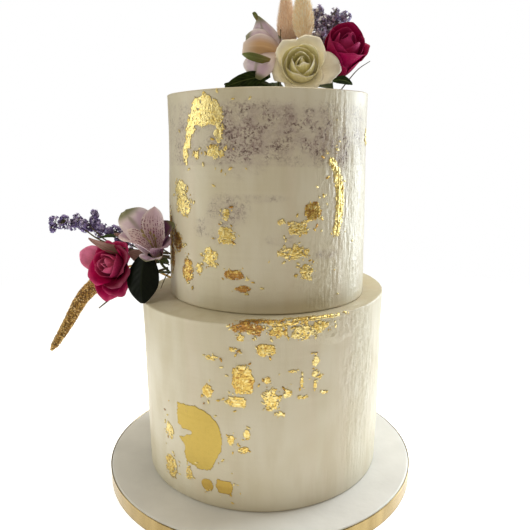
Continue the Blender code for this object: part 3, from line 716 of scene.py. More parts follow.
def outline_depth(flake, across, up):
    """How far inside the flake's outline a place is, as a share of its size; negative outside."""
    if not flake.shape:
        return 0.5 - math.hypot(across, up)
    inside = False
    nearest = 9.0
    corners = flake.shape
    for (ax, ay), (bx, by) in zip(corners, corners[1:] + corners[:1]):
        if (ay > up) != (by > up) and across < ax + (up - ay) / (by - ay) * (bx - ax):
            inside = not inside
        run = (bx - ax) ** 2 + (by - ay) ** 2
        share = max(0, min(1, ((across - ax) * (bx - ax) + (up - ay) * (by - ay)) / run))
        nearest = min(nearest, math.hypot(across - ax - share * (bx - ax), up - ay - share * (by - ay)))
    return nearest if inside else -nearest


print("flakes:", len(TOP_FLAKES), "above and", len(BOTTOM_FLAKES), "below")

# %% Lay the flakes on a tier
LEAF_CELL = 0.6 * MM
LEAF_FILM = 0.12 * MM
FLAT_TEAR = 0.1
GRID_SPREAD = 1.2


def flake_grid(piece, tier, flake, seed):
    """One flake's cells, laid on the cream and crumpled."""
    width = flake.width * MM
    tall = flake.tall * MM
    columns = max(4, round(width * GRID_SPREAD / LEAF_CELL))
    rows = max(4, round(tall * GRID_SPREAD / LEAF_CELL))
    shift = Vector((seed * 3.7, seed * 1.3, 0))
    radius = tier.radius(math.radians(flake.angle_deg), flake.height * MM)
    flat = flake.tear < FLAT_TEAR
    springy = 0.05 if flat else 0.3 + flake.tear
    numbers = {}
    points = []
    tones = []
    faces = []

    def point_number(column, row):
        if (column, row) in numbers:
            return numbers[(column, row)]
        aside = (column / columns - 0.5) * width * GRID_SPREAD
        above = (row / rows - 0.5) * tall * GRID_SPREAD
        place = Vector((aside, above, 0)) / MM
        aside += noise.noise(place * 0.8 + shift) * 0.25 * MM
        above += noise.noise(place * 0.8 - shift) * 0.25 * MM
        angle = math.radians(flake.angle_deg) + aside / radius
        height = flake.height * MM + above
        crumple = abs(noise.noise(place * 0.42 + shift)) + 0.6 * abs(noise.noise(place * 1.1 - shift))
        lift = (0.16 + 0.6 * crumple * springy) * MM
        dry = patch_mask(DRY_PATCHES_TOP if tier is TOP_TIER else DRY_PATCHES_BOTTOM, tier, angle, height)
        bare = bare_mask(angle, height) if tier is TOP_TIER else 0.0
        proud = side_relief(tier, angle, min(height, tier.height), bare, dry) + lift
        points.append(tier.skin_point(angle, height, proud))
        # The tone rises with the crumple: raised ridges are painted paler, as painted highlight, and hollows
        # browner, as painted shade, on top of the flake's own tone.
        tones.append(flake.tone + (0.1 if flat else 0.9) * (crumple - 0.35))
        numbers[(column, row)] = len(points) - 1
        return len(points) - 1

    for row in range(rows):
        for column in range(columns):
            across = ((column + 0.5) / columns - 0.5) * GRID_SPREAD
            up = ((row + 0.5) / rows - 0.5) * GRID_SPREAD
            place = Vector((across * flake.width, up * flake.tall, 0))
            ragged = noise.noise(place * 0.22 + shift) * 0.5 + noise.noise(place * 0.7 + shift) * 0.32
            holes = noise.noise(place * 0.4 - shift) + 0.25 * noise.noise(place * 1.3 - shift)
            crack = abs(noise.noise(place * 0.3 + shift * 2))
            depth = outline_depth(flake, across, up) + ragged * flake.tear
            torn = not flat and (holes > 0.66 - 0.55 * flake.tear or crack < 0.06 * flake.tear)
            if depth < 0 or (torn and depth < 0.3):
                continue
            corners = ((column, row), (column + 1, row), (column + 1, row + 1), (column, row + 1))
            faces.append(tuple(point_number(*corner) for corner in corners))
    piece.add(points, faces, tone=tones, calm=float(flat))


def gild(name, tier, flakes, finish):
    """All of a tier's flakes as one piece, given its film's thickness."""
    piece = Gathering("tone", "calm")
    for seed, flake in enumerate(flakes):
        flake_grid(piece, tier, flake, seed + 1)
    made = piece.finish(name, finish)
    film = made.modifiers.new("film", "SOLIDIFY")
    film.thickness = LEAF_FILM
    film.offset = 0
    return made


# %% Gold leaf material
GOLD_PALE = (0.92, 0.77, 0.36)
GOLD_FLAT = (0.50, 0.37, 0.09)
GOLD_WARM = (0.76, 0.54, 0.14)
GOLD_BROWN = (0.42, 0.21, 0.06)


def gold_leaf():
    finish = Finish("gold_leaf", metallic=0.92)
    tone = finish.mark("tone")
    calm = finish.mark("calm")
    patchy = finish.grain(0.0035, 4, roughness=0.6)
    # The tone mark holds each flake's own tone and the painted highlight and shade of its crumples.
    amount = tone * 0.7 + patchy * (0.9 - 0.75 * calm) + 0.36 * calm - 0.16
    colour = finish.ramp(amount, ((0.2, GOLD_BROWN), (0.42, GOLD_WARM), (0.72, GOLD_PALE)))
    colour = finish.blend(calm * (tone * 2.0 + 0.25), colour, GOLD_FLAT)
    wrinkle = finish.grain(0.0012, 4, offset=5, roughness=0.65) * (1 - 0.8 * calm)
    rough = 0.24 + 0.2 * patchy + 0.12 * calm
    return finish.paint(base_color=colour, roughness=rough, normal=finish.relief(wrinkle, 0.0005, 0.8))


def settle(made):
    """Turns an object with modifiers into a plain mesh."""
    graph = bpy.context.evaluated_depsgraph_get()
    plain = bpy.data.meshes.new_from_object(made.evaluated_get(graph))
    made.modifiers.clear()
    made.data = plain
    return made


GOLD = gold_leaf()
top_gold = settle(gild("gold_leaf_top", TOP_TIER, TOP_FLAKES, GOLD))
ride_root(top_gold, "buttercream")
bottom_gold = settle(gild("gold_leaf_bottom", BOTTOM_TIER, BOTTOM_FLAKES, GOLD))
ride_root(bottom_gold, "buttercream")

# %% [markdown]
# ## Geometry Nodes for what repeats
# Crumbs of leaf, florets, millet grains and the down on grass heads are one small shape repeated
# hundreds of times. A Geometry Nodes tree puts that shape on points, turns and scales each copy, and
# realizes the copies, so the result is one plain mesh. A small class builds such a tree, and every
# size goes in through a named input.

# %% A tree of Geometry Nodes
class Recipe:
    """A Geometry Nodes tree under construction, with named inputs for its sizes."""

    def __init__(self, name, **sizes):
        self.tree = bpy.data.node_groups.new(name, "GeometryNodeTree")
        face = self.tree.interface
        face.new_socket("Geometry", in_out="INPUT", socket_type="NodeSocketGeometry")
        face.new_socket("Geometry", in_out="OUTPUT", socket_type="NodeSocketGeometry")
        self.sizes = {}
        for label, value in sizes.items():
            kind = "NodeSocketInt" if isinstance(value, int) else "NodeSocketFloat"
            socket = face.new_socket(label, in_out="INPUT", socket_type=kind)
            self.sizes[socket.identifier] = value
        self.start = self.tree.nodes.new("NodeGroupInput")
        self.end = self.tree.nodes.new("NodeGroupOutput")

    def size(self, label):
        return self.start.outputs[label]

    def node(self, kind, settings=None, inputs=None, output=0):
        made = self.tree.nodes.new(kind)
        for label, value in (settings or {}).items():
            setattr(made, label, value)
        for label, value in (inputs or {}).items():
            if isinstance(value, bpy.types.NodeSocket):
                self.tree.links.new(value, made.inputs[label])
            else:
                made.inputs[label].default_value = value
        return made.outputs[output]

    def random(self, low, high, seed):
        """A random number for each copy."""
        settings = {"data_type": "FLOAT"}
        return self.node("FunctionNodeRandomValue", settings, {2: low, 3: high, "Seed": seed}, output=1)

    def turn_towards(self, direction, seed):
        """A rotation that takes +Z to a direction and spins each copy at random about it."""
        aimed = self.node("FunctionNodeAlignRotationToVector", {"axis": "Z"}, {"Vector": direction})
        spin = self.random(0.0, 2 * math.pi, seed)
        about = self.node("FunctionNodeAxisAngleToRotation", None, {"Axis": (0, 0, 1), "Angle": spin})
        settings = {"rotation_space": "LOCAL"}
        return self.node("FunctionNodeRotateRotation", settings, {"Rotation": aimed, "Rotate By": about})

    def copies(self, points, shape, rotation, scale, tone_seed):
        """The shape on every point, each copy with a random tone for its colour."""
        settings = {"transform_space": "ORIGINAL"}
        source = self.node("GeometryNodeObjectInfo", settings, {"Object": shape}, "Geometry")
        inputs = {"Points": points, "Instance": source, "Rotation": rotation, "Scale": scale}
        placed = self.node("GeometryNodeInstanceOnPoints", None, inputs)
        tone = self.random(0.0, 1.0, tone_seed)
        settings = {"data_type": "FLOAT", "domain": "INSTANCE"}
        inputs = {"Geometry": placed, "Name": "tone", "Value": tone}
        return self.node("GeometryNodeStoreNamedAttribute", settings, inputs)

    def make(self, made, geometry, finish):
        """Runs the tree on an object and leaves a plain mesh there."""
        real = self.node("GeometryNodeRealizeInstances", None, {"Geometry": geometry})
        inputs = {"Geometry": real, "Material": finish}
        painted = self.node("GeometryNodeSetMaterial", None, inputs)
        self.tree.links.new(painted, self.end.inputs[0])
        modifier = made.modifiers.new("recipe", "NODES")
        modifier.node_group = self.tree
        for identifier, value in self.sizes.items():
            modifier[identifier] = value
        settle(made)
        made.data.materials.clear()
        made.data.materials.append(finish)

    def cover(self, made, copies, finish):
        """Runs the tree on an object and keeps the object's own mesh under the copies."""
        joined = self.node("GeometryNodeJoinGeometry")
        for part in (self.start.outputs[0], copies):
            self.tree.links.new(part, joined.node.inputs[0])
        self.make(made, joined, finish)


def hidden_shape(name, points, faces):
    """A small shape for copying, kept out of the render and removed once it is used."""
    mesh = bpy.data.meshes.new(name)
    mesh.from_pydata([tuple(p) for p in points], [], faces)
    mesh.shade_smooth()
    made = linked(name, mesh)
    made.hide_render = True
    return made


def point_cloud(name, places, directions):
    """Loose vertices, each with the direction that its copy faces."""
    mesh = bpy.data.meshes.new(name)
    mesh.from_pydata([tuple(p) for p in places], [], [])
    layer = mesh.attributes.new("facing", "FLOAT_VECTOR", "POINT")
    layer.data.foreach_set("vector", np.array([tuple(d) for d in directions], dtype=np.float32).ravel())
    return linked(name, mesh)


def scatter(name, kind, places, directions, shape, smallest, largest, seed, size_seed, tone_seed, finish):
    """One shape on every place, each copy facing its own direction, as one plain mesh."""
    cloud = point_cloud(name, places, directions)
    recipe = Recipe(kind + name, smallest=smallest, largest=largest, seed=seed)
    settings = {"data_type": "FLOAT_VECTOR"}
    facing = recipe.node("GeometryNodeInputNamedAttribute", settings, {"Name": "facing"})
    rotation = recipe.turn_towards(facing, recipe.size("seed"))
    spread = recipe.random(recipe.size("smallest"), recipe.size("largest"), size_seed)
    copies = recipe.copies(recipe.start.outputs[0], shape, rotation, spread, tone_seed)
    recipe.make(cloud, copies, finish)
    bpy.data.objects.remove(shape)
    return cloud


print("recipe helpers ready")

# %% [markdown]
# ## Crumbs of gold
# Small bits break off each flake and stick nearby. They are scattered round the flakes at random,
# denser close in, and each is a bent scrap one to three millimetres across.

# %% Scatter the crumbs of leaf
CRUMB_MIN = 0.5 * MM
CRUMB_MAX = 1.7 * MM


def scrap_shape():
    corners = ((1, 0.1), (0.45, 0.8), (-0.3, 0.65), (-0.95, 0.25), (-0.6, -0.5), (0.1, -0.85), (0.7, -0.55))
    rim = [(1.3 * x, 0.7 * y, 0.25 * math.sin(3 * k)) for k, (x, y) in enumerate(corners)]
    top = [(x, y, z + 0.12) for x, y, z in rim] + [(0, 0, 0.3)]
    low = [(x * 0.98, y * 0.98, z - 0.05) for x, y, z in rim] + [(0, 0, 0.05)]
    count = len(corners)
    faces = []
    for k in range(count):
        after = (k + 1) % count
        faces.append((k, after, count))
        faces.append((count + 1 + after, count + 1 + k, 2 * count + 1))
        faces.append((after, k, count + 1 + k, count + 1 + after))
    return hidden_shape("scrap", top + low, faces)


def scatter_gold(name, tier, flakes, share, seed):
    draw = random.Random(seed)
    places = []
    directions = []
    for flake in flakes:
        bits = round((flake.width + flake.tall) * share * (0.5 + flake.tear))
        for _ in range(bits):
            turn = draw.uniform(0, 2 * math.pi)
            reach = 0.45 + abs(draw.gauss(0, 0.32))
            aside = math.cos(turn) * reach * flake.width * MM
            height = flake.height * MM + math.sin(turn) * reach * flake.tall * MM
            if not 2 * MM < height < tier.height - 2 * MM:
                continue
            angle = math.radians(flake.angle_deg) + aside / tier.radius_low
            places.append(tier.side_point(angle, height, 0.3 * MM))
            directions.append((math.cos(angle), math.sin(angle), 0))
    shape = scrap_shape()
    return scatter(name, "crumbs_of_leaf_", places, directions, shape, CRUMB_MIN, CRUMB_MAX, seed, 3, 5, GOLD)


ride_root(scatter_gold("gold_crumbs_top", TOP_TIER, TOP_FLAKES, 0.35, 4), "buttercream")
ride_root(scatter_gold("gold_crumbs_bottom", BOTTOM_TIER, BOTTOM_FLAKES, 0.3, 9), "buttercream")

# %% [markdown]
# ## The board and its ribbon
# The board is a thick disc under a smooth white covering, and a satin ribbon is stuck round its edge,
# its end lapped at the back. Satin is woven with its threads along the length, so it shines in
# upright bands; its colour also carries upright bands of darker and paler gold, a painted sheen. Its two
# selvedges stand a little proud.

# %% Board
BOARD_RADIUS = 140 * MM
BOARD_EDGE = 1.6 * MM
BOARD_EDGE_RINGS = 6


def board_white():
    finish = Finish("board_white")
    cloud = finish.step(finish.grain(0.03, 3), 0.3, 0.7)
    colour = finish.blend(cloud, (0.77, 0.77, 0.77), (0.83, 0.83, 0.83))
    dimples = finish.relief(finish.grain(0.006, 3, offset=2), 0.0006, 0.35)
    return finish.paint(base_color=colour, roughness=0.36 + 0.14 * cloud, normal=dimples)


def build_board():
    columns = 288
    rings = [(BOARD_RADIUS - BOARD_EDGE / 2, 0.0), (BOARD_RADIUS, BOARD_EDGE / 2)]
    rings.append((BOARD_RADIUS, DRUM_TOP - BOARD_EDGE))
    for k in range(1, BOARD_EDGE_RINGS + 1):
        bend = math.pi / 2 * k / BOARD_EDGE_RINGS
        inward = BOARD_EDGE * (1 - math.cos(bend))
        rings.append((BOARD_RADIUS - inward, DRUM_TOP - BOARD_EDGE * (1 - math.sin(bend))))
    rings += [(BOARD_RADIUS - BOARD_EDGE - k * 4.2 * MM, DRUM_TOP) for k in range(1, 12)]
    points = []
    for row, (reach, height) in enumerate(rings):
        for k in range(columns):
            turn = 2 * math.pi * k / columns
            x = reach * math.cos(turn)
            y = reach * math.sin(turn)
            wave = noise.noise(Vector((x * 30, y * 30, 1))) * 0.15 * MM
            lift = min(0.0, wave - 0.05 * MM) if row > BOARD_EDGE_RINGS else 0.0
            points.append((x, y, height + lift))
    return plain_piece("covered_board", board_white(), (points, barrel_faces(len(rings), columns)))


ride_root(build_board(), "drum", "cake_drum")

# %% Ribbon
RIBBON_LOW = 0.5 * MM
RIBBON_WIDTH = 13.8 * MM
RIBBON_THICK = 0.5 * MM
RIBBON_LAP = math.radians(11)
RIBBON_START = math.radians(80)


def satin_gold():
    finish = Finish("satin_gold", metallic=0.9, anisotropic=0.6)
    threads = finish.grain(0.0006, 2, stretch=(0.05, 0.05, 1))
    # Upright bands of darker and paler gold in the colour are painted sheen.
    sheen_bands = finish.grain(0.012, 2, stretch=(1, 1, 0.2), offset=4)
    colour = finish.blend(sheen_bands, (0.26, 0.18, 0.06), (0.54, 0.41, 0.19))
    bumps = finish.relief(threads, 0.0002, 0.3)
    return finish.paint(base_color=colour, roughness=0.17 + 0.1 * threads, normal=bumps)


def build_ribbon():
    """The ribbon's section, swept once round the board and a little further."""
    inner = BOARD_RADIUS + 0.3 * MM
    steps = 420
    section = []
    for k in range(13):
        share = k / 12
        selvedge = 0.12 * MM * (math.exp(-((share / 0.05) ** 2)) + math.exp(-(((1 - share) / 0.05) ** 2)))
        section.append((RIBBON_THICK * 0.7 + selvedge, RIBBON_LOW + RIBBON_WIDTH * share))
    section += [(0.0, RIBBON_LOW + RIBBON_WIDTH), (0.0, RIBBON_LOW)]
    points = []
    for k in range(steps + 1):
        turned = (2 * math.pi + RIBBON_LAP) * k / steps
        lapped = max(0, min(1, (turned - 2 * math.pi + RIBBON_LAP) / RIBBON_LAP))
        angle = RIBBON_START + turned
        slack = 0.06 * MM * math.sin(9 * angle) + (RIBBON_THICK + 0.3 * MM) * lapped
        for out, up in section:
            reach = inner + max(0.0, slack) + out
            points.append((reach * math.cos(angle), reach * math.sin(angle), up))
    shape = (points, barrel_faces(steps + 1, len(section)))
    made = plain_piece("gold_ribbon", satin_gold(), shape)
    work = bmesh.new()
    work.from_mesh(made.data)
    bmesh.ops.recalc_face_normals(work, faces=work.faces)
    work.to_mesh(made.data)
    work.free()
    return made


ride_root(build_ribbon(), "ribbon", "drum_ribbon")

# %% [markdown]
# ## Petals
# A rose is a bud of petals wound round each other, with a few open petals outside. Each petal grows a
# golden angle further round than the last, which is why no two line up. One function bends a grid into
# a petal: its spine leans in for the bud and out for an open petal, its sides wrap round the axis, and
# its lip rolls back. Small seeded differences keep any two petals from being alike.

# %% Rose petal surface
GOLDEN_ANGLE = 137.5
PETAL_LAP = 1.2 * MM


@dataclass
class Petal:
    """One petal: its direction, its size, how far its spine leans and how tightly its sides wrap."""

    around_deg: float
    length: float
    half_width: float
    lean_low_deg: float
    lean_high_deg: float
    wrap: float
    foot: float
    start: float = 0.0
    tone: float = 0.0


def rose_petal(petal, draw):
    around = math.radians(petal.around_deg + draw.uniform(-4, 4))
    turn = np.array((math.cos(around), math.sin(around), 0))
    side = np.array((-math.sin(around), math.cos(around), 0))
    up_axis = np.array((0, 0, 1.0))
    low = math.radians(petal.lean_low_deg)
    bend = math.radians(petal.lean_high_deg - petal.lean_low_deg)
    openness = smooth_step(petal.lean_high_deg, -20, 55)
    roll = (0.5 + 1.9 * openness) * MM
    ruffle = (0.2 + 0.7 * openness) * MM
    point = draw.uniform(0.6, 1.8) * MM
    wave = draw.uniform(0, 6)

    def point_at(across, along):
        lean = low + bend * along * (1 - 0.15 * across**2)
        past = max(0, along - 0.72) / 0.28
        broad = 0.3 + 0.7 * math.sin(min(1, along / 0.72) * math.pi / 2)
        width = petal.half_width * broad * (1 - 0.24 * past**2)
        curl = width * across / petal.wrap
        reach = petal.foot + petal.length / bend * (math.cos(low) - math.cos(lean))
        reach += PETAL_LAP * across * along
        height = petal.start + petal.length / bend * (math.sin(lean) - math.sin(low))
        inward = up_axis * math.sin(lean) - turn * math.cos(lean)
        rolled = past**3 + 0.5 * (max(0, abs(across) - 0.72) / 0.28) ** 2 * along**2
        crinkle = math.sin(4.3 * across + wave) * along**3 + 0.3 * math.sin(11 * across + 2 * wave) * past
        proud = petal.wrap * (1 - math.cos(curl)) - roll * rolled + ruffle * crinkle
        tip = point * max(0, 1 - 2.2 * abs(across)) * past**2
        ahead = turn * math.sin(lean) + up_axis * math.cos(lean)
        sideways = side * petal.wrap * math.sin(curl)
        return turn * reach + up_axis * height + sideways + inward * proud + ahead * tip

    return point_at


def bud_petals(count, first_deg, length, small, large, tone_inside, tone_outside, start=0.0):
    """Petals wound round the bud, each a golden angle on from the last and a little further out."""
    petals = []
    for k in range(count):
        share = k / (count - 1)
        belly = small + (large - small) * share
        low = 22 + 22 * share
        high = -32 + 22 * share
        tall = length * (1 - 0.05 * share)
        foot = belly - tall * (1 - math.cos(math.radians(low))) / math.radians(low - high)
        tone = tone_inside + (tone_outside - tone_inside) * share
        wide = belly * (1.5 - 0.25 * share)
        turned = first_deg + GOLDEN_ANGLE * k
        petals.append(Petal(turned, tall, wide, low, high, belly, max(foot, 1 * MM), start, tone))
    return petals


def bud_spiral(radius, height):
    """The rolled petal in the middle: a cone wound round itself, seen end on."""

    def point_at(across, along):
        wound = (across + 1) / 2
        angle = 2 * math.pi * 2.2 * wound
        reach = radius * (0.14 + 0.86 * wound) * (1 - 0.5 * along**2)
        return (reach * math.cos(angle), reach * math.sin(angle), height * along * (1.02 - 0.1 * wound))

    return point_at


def placing(base, facing):
    """The matrix that stands a flower at base with its +Z along facing and its +Y upwards."""
    turn = Vector(facing).to_track_quat("Z", "Y").to_matrix()
    return np.array(turn), np.array(base)


def placed(points, turn, base):
    return np.asarray(points) @ turn.T + base


print("petal helpers ready")

# %% [markdown]
# ## Petal finishes
# A petal is velvety, so it scatters light softly. The colour is painted deeper towards the heart, partly
# the petal's own colour and partly painted shade deep in the flower, and fine veins fan out from the base.
# The lip is painted paler, a painted highlight where the edge catches light. A tone below zero paints a
# whole petal deeper, as painted shade; a tone above zero paints it paler, partly its own paler colour and
# partly painted highlight. All of it follows marks on the mesh: how far along the petal a point is, how
# far across, and its tone.

# %% Rose petal material
PAINTED_PETAL_GLOW = 0.025


def petal_finish(name, deep, body, pale, vein=0.15, sheen=0.0, lip=0.35, blotched=0.3, shine=0.08):
    """A petal's finish. Its emission is a painted glow that stands in for light passing through a thin petal.
    """
    finish = Finish(name, sheen_weight=sheen, specular_ior_level=shine, emission_strength=PAINTED_PETAL_GLOW)
    along = finish.mark("along")
    across = finish.mark("across")
    tone = finish.mark("tone")
    # Deeper towards the heart: partly the petal's own colour, partly painted shade deep in the flower.
    colour = finish.blend(finish.step(along, 0.15, 0.75), deep, body)
    # A tone above zero paints the petal paler: partly its own colour, partly painted highlight.
    colour = finish.blend(tone, colour, pale)
    # A tone below zero paints the whole petal deeper, as painted shade.
    colour = finish.blend(finish.step(0 - tone, 0.0, 0.6), colour, deep)
    # The paler lip is a painted highlight where the petal's edge catches light.
    colour = finish.blend(finish.step(along, 0.86, 1.0) * lip, colour, pale)
    fan = (across * 42 + finish.grain(0.006, 2) * 5).sine()
    veins = finish.step(fan, 0.2, 1.0) * finish.step(1 - along, 0.0, 0.8)
    colour = finish.blend(veins * vein, colour, deep)
    blotch = finish.step(finish.grain(0.007, 3, offset=9), 0.35, 0.75)
    colour = finish.blend(blotch * blotched, colour, deep)
    cells = finish.grain(0.0016, 3, offset=3)
    height = cells * 0.6 + veins * 0.5
    bump = finish.relief(height, 0.0004, 0.35)
    return finish.paint(base_color=colour, emission_color=colour, roughness=0.42 + 0.2 * cells, normal=bump)


def stem_finish():
    finish = Finish("flower_stem", roughness=0.5)
    drift = finish.grain(0.004, 2)
    colour = finish.blend(drift, (0.03, 0.05, 0.012), (0.11, 0.13, 0.04))
    return finish.paint(base_color=colour, normal=finish.relief(finish.grain(0.001, 2), 0.0002, 0.3))


STEM = stem_finish()
print("stem finish:", STEM.name)

# %% Build a rose
def build_rose(name, node, slot, finish, base, facing, petals, bud_radius, bud_height, stem_end, seed):
    draw = random.Random(seed)
    base = Vector(base) * MM
    turn, origin = placing(base, facing)
    rose = Gathering("along", "across", "tone")
    points, faces, across, along = sheet_shape(bud_spiral(bud_radius, bud_height), 64, 14, 0.5 * MM)
    rose.add(placed(points, turn, origin), faces, along=along * 0.8, across=across, tone=petals[0].tone)
    for petal in petals:
        rose.add_sheet(rose_petal(petal, draw), 27, 24, 0.5 * MM, 0.35, (turn, origin), tone=petal.tone)
    made = rose.finish(name, finish)
    add_stem(made, base, facing, Vector(stem_end) * MM)
    ride_root(made, slot, node)


def add_stem(made, base, facing, end):
    """A green stem and hip behind the flower, joined to its mesh as a second material."""
    back = -Vector(facing).normalized()
    bend = base + back * (end - base).length * 0.4
    start = base - back * 2 * MM
    stem = Gathering("along", "across", "tone")
    stem.add(*tube_shape([start, bend, end], lambda share: (1.1 + 2.6 * math.exp(-9 * share)) * MM, 22, 12))
    join_into(made, stem.finish("stem", STEM))


def join_into(made, piece):
    """Adds a piece's mesh to another object's, keeping both materials."""
    with bpy.context.temp_override(active_object=made, selected_editable_objects=[made, piece]):
        bpy.ops.object.join()


WHITE = petal_finish(
    "white_rose_petal", (0.52, 0.44, 0.09), (0.92, 0.86, 0.46), (0.97, 0.92, 0.80),
    vein=0.1, sheen=0.1, lip=0.85, blotched=0.12, shine=0.25,
)
MAGENTA = petal_finish(
    "magenta_rose_petal", (0.14, 0.001, 0.03), (0.36, 0.002, 0.075), (0.50, 0.05, 0.19), lip=0.2
)
PINK = petal_finish("pink_rose_petal", (0.15, 0.001, 0.022), (0.50, 0.003, 0.10), (0.84, 0.24, 0.42), lip=0.2)
print("rose finishes:", WHITE.name, MAGENTA.name, PINK.name)

# %% The roses
build_rose(
    "white_rose_bloom", "white_rose", "white_petal", WHITE,
    base=(31.5, -44, 353.5), facing=(-0.03, -0.94, 0.3),
    petals=bud_petals(10, 20, 24 * MM, 3.6 * MM, 14.5 * MM, 0.0, 0.25) + [
        Petal(126, 24.5 * MM, 14 * MM, 30, 56, 18 * MM, 4 * MM, -1 * MM, 0.9),
        Petal(54, 26 * MM, 15 * MM, 30, 58, 18 * MM, 4 * MM, -1 * MM, 0.9),
        Petal(180, 23.5 * MM, 14 * MM, 34, 64, 18 * MM, 4 * MM, -2 * MM, 0.95),
        Petal(238, 19 * MM, 14 * MM, 34, 58, 18 * MM, 4 * MM, -2 * MM, 0.9),
        Petal(296, 19 * MM, 14 * MM, 34, 58, 18 * MM, 4 * MM, -2 * MM, 0.85),
        Petal(-4, 30 * MM, 14 * MM, 46, 74, 20 * MM, 3 * MM, -3 * MM, 1.0),
    ],
    bud_radius=3.0 * MM, bud_height=22 * MM, stem_end=(24, -34, 341.3), seed=3,
)
build_rose(
    "magenta_rose_bloom", "magenta_rose", "magenta_petal", MAGENTA,
    base=(60, -24, 355), facing=(0.20, -0.7, 0.68),
    petals=bud_petals(10, 200, 39 * MM, 3.6 * MM, 14 * MM, 0.9, 0.2, -1 * MM) + [
        Petal(60, 40 * MM, 20 * MM, 30, 2, 17 * MM, 4 * MM, -2 * MM, 0.0),
        Petal(170, 39 * MM, 20 * MM, 30, 0, 17 * MM, 4 * MM, -2 * MM, 0.15),
        Petal(272, 36 * MM, 20 * MM, 30, 6, 17 * MM, 4 * MM, -2 * MM, 0.0),
        Petal(-14, 35 * MM, 16 * MM, 30, 16, 17 * MM, 4 * MM, -3 * MM, 0.0),
        Petal(215, 32 * MM, 15 * MM, 30, 14, 17 * MM, 4 * MM, -3 * MM, 0.0),
    ],
    bud_radius=3.0 * MM, bud_height=36 * MM, stem_end=(60, -16, 341.3), seed=5,
)
# Tones below zero paint petals deep crimson, as painted shade; the petal with tone 1.0 is painted pale pink,
# as a painted highlight.
build_rose(
    "pink_rose_bloom", "pink_rose", "pink_petal", PINK,
    base=(-124, -10, 192), facing=(-0.34, -0.86, 0.34),
    petals=bud_petals(9, 120, 28 * MM, 3.6 * MM, 12 * MM, 0.7, 0.05) + [
        Petal(20, 31 * MM, 17 * MM, 26, 44, 17 * MM, 3 * MM, -1 * MM, -0.6),
        Petal(100, 27 * MM, 16 * MM, 24, 46, 17 * MM, 3 * MM, -1 * MM, -0.2),
        Petal(215, 28 * MM, 15 * MM, 26, 44, 17 * MM, 3 * MM, -1 * MM, 0.0),
        Petal(-40, 32 * MM, 17 * MM, 28, 52, 18 * MM, 3 * MM, -2 * MM, -0.6),
        Petal(55, 26 * MM, 15 * MM, 32, 58, 18 * MM, 3 * MM, -2 * MM, 0.0),
        Petal(160, 36 * MM, 14 * MM, 42, 50, 12 * MM, 3 * MM, -3 * MM, 1.0),
        Petal(264, 32 * MM, 15 * MM, 44, 68, 22 * MM, 3 * MM, -3 * MM, -0.1),
        Petal(305, 32 * MM, 16 * MM, 38, 66, 20 * MM, 3 * MM, -3 * MM, -0.25),
    ],
    bud_radius=3.2 * MM, bud_height=24 * MM, stem_end=(-81, -2, 186), seed=8,
)

# %% [markdown]
# ## Peruvian lilies
# A Peruvian lily has three broad outer petals with green tips and three narrow inner ones streaked
# with maroon dashes, round six curved stamens. Each petal is a spoon on a curved spine. The streaks
# are painted, because they have no relief on the real flower either.

# %% Lily petals
@dataclass
class Tepal:
    """One petal by its direction round the axis and how far it leans from it."""

    around_deg: float
    length: float
    half_width: float
    lean_low_deg: float
    lean_high_deg: float
    curl_radius: float
    heart: float
    taper: float = 0.86


OUTER_HEART = 3.2 * MM
INNER_HEART = 1.6 * MM
TEPAL_WIDEST = 0.62


def tepal_surface(tepal, draw):
    around = math.radians(tepal.around_deg)
    turn = np.array((math.cos(around), math.sin(around), 0))
    side = np.array((-math.sin(around), math.cos(around), 0))
    low = math.radians(tepal.lean_low_deg)
    bend = math.radians(tepal.lean_high_deg - tepal.lean_low_deg)
    wave = draw.uniform(0, 6)
    up_axis = np.array((0, 0, 1.0))

    def point_at(across, along):
        lean = low + bend * along
        reach = tepal.heart + tepal.length / bend * (math.cos(low) - math.cos(lean))
        height = tepal.length / bend * (math.sin(lean) - math.sin(low))
        rising = min(1, along / TEPAL_WIDEST)
        falling = max(0, along - TEPAL_WIDEST) / (1 - TEPAL_WIDEST)
        swell = 0.24 + 0.76 * math.sin(rising * math.pi / 2)
        width = tepal.half_width * swell * (1 - tepal.taper * falling**2.6)
        curl = width * across / tepal.curl_radius
        inward = up_axis * math.sin(lean) - turn * math.cos(lean)
        crease = -0.7 * MM * math.exp(-((across / 0.16) ** 2)) * math.sin(math.pi * along)
        ruffle = 0.8 * MM * across**2 * math.sin(7 * along + wave) * along
        proud = tepal.curl_radius * (1 - math.cos(curl)) + crease + ruffle
        return turn * reach + up_axis * height + side * tepal.curl_radius * math.sin(curl) + inward * proud

    return point_at


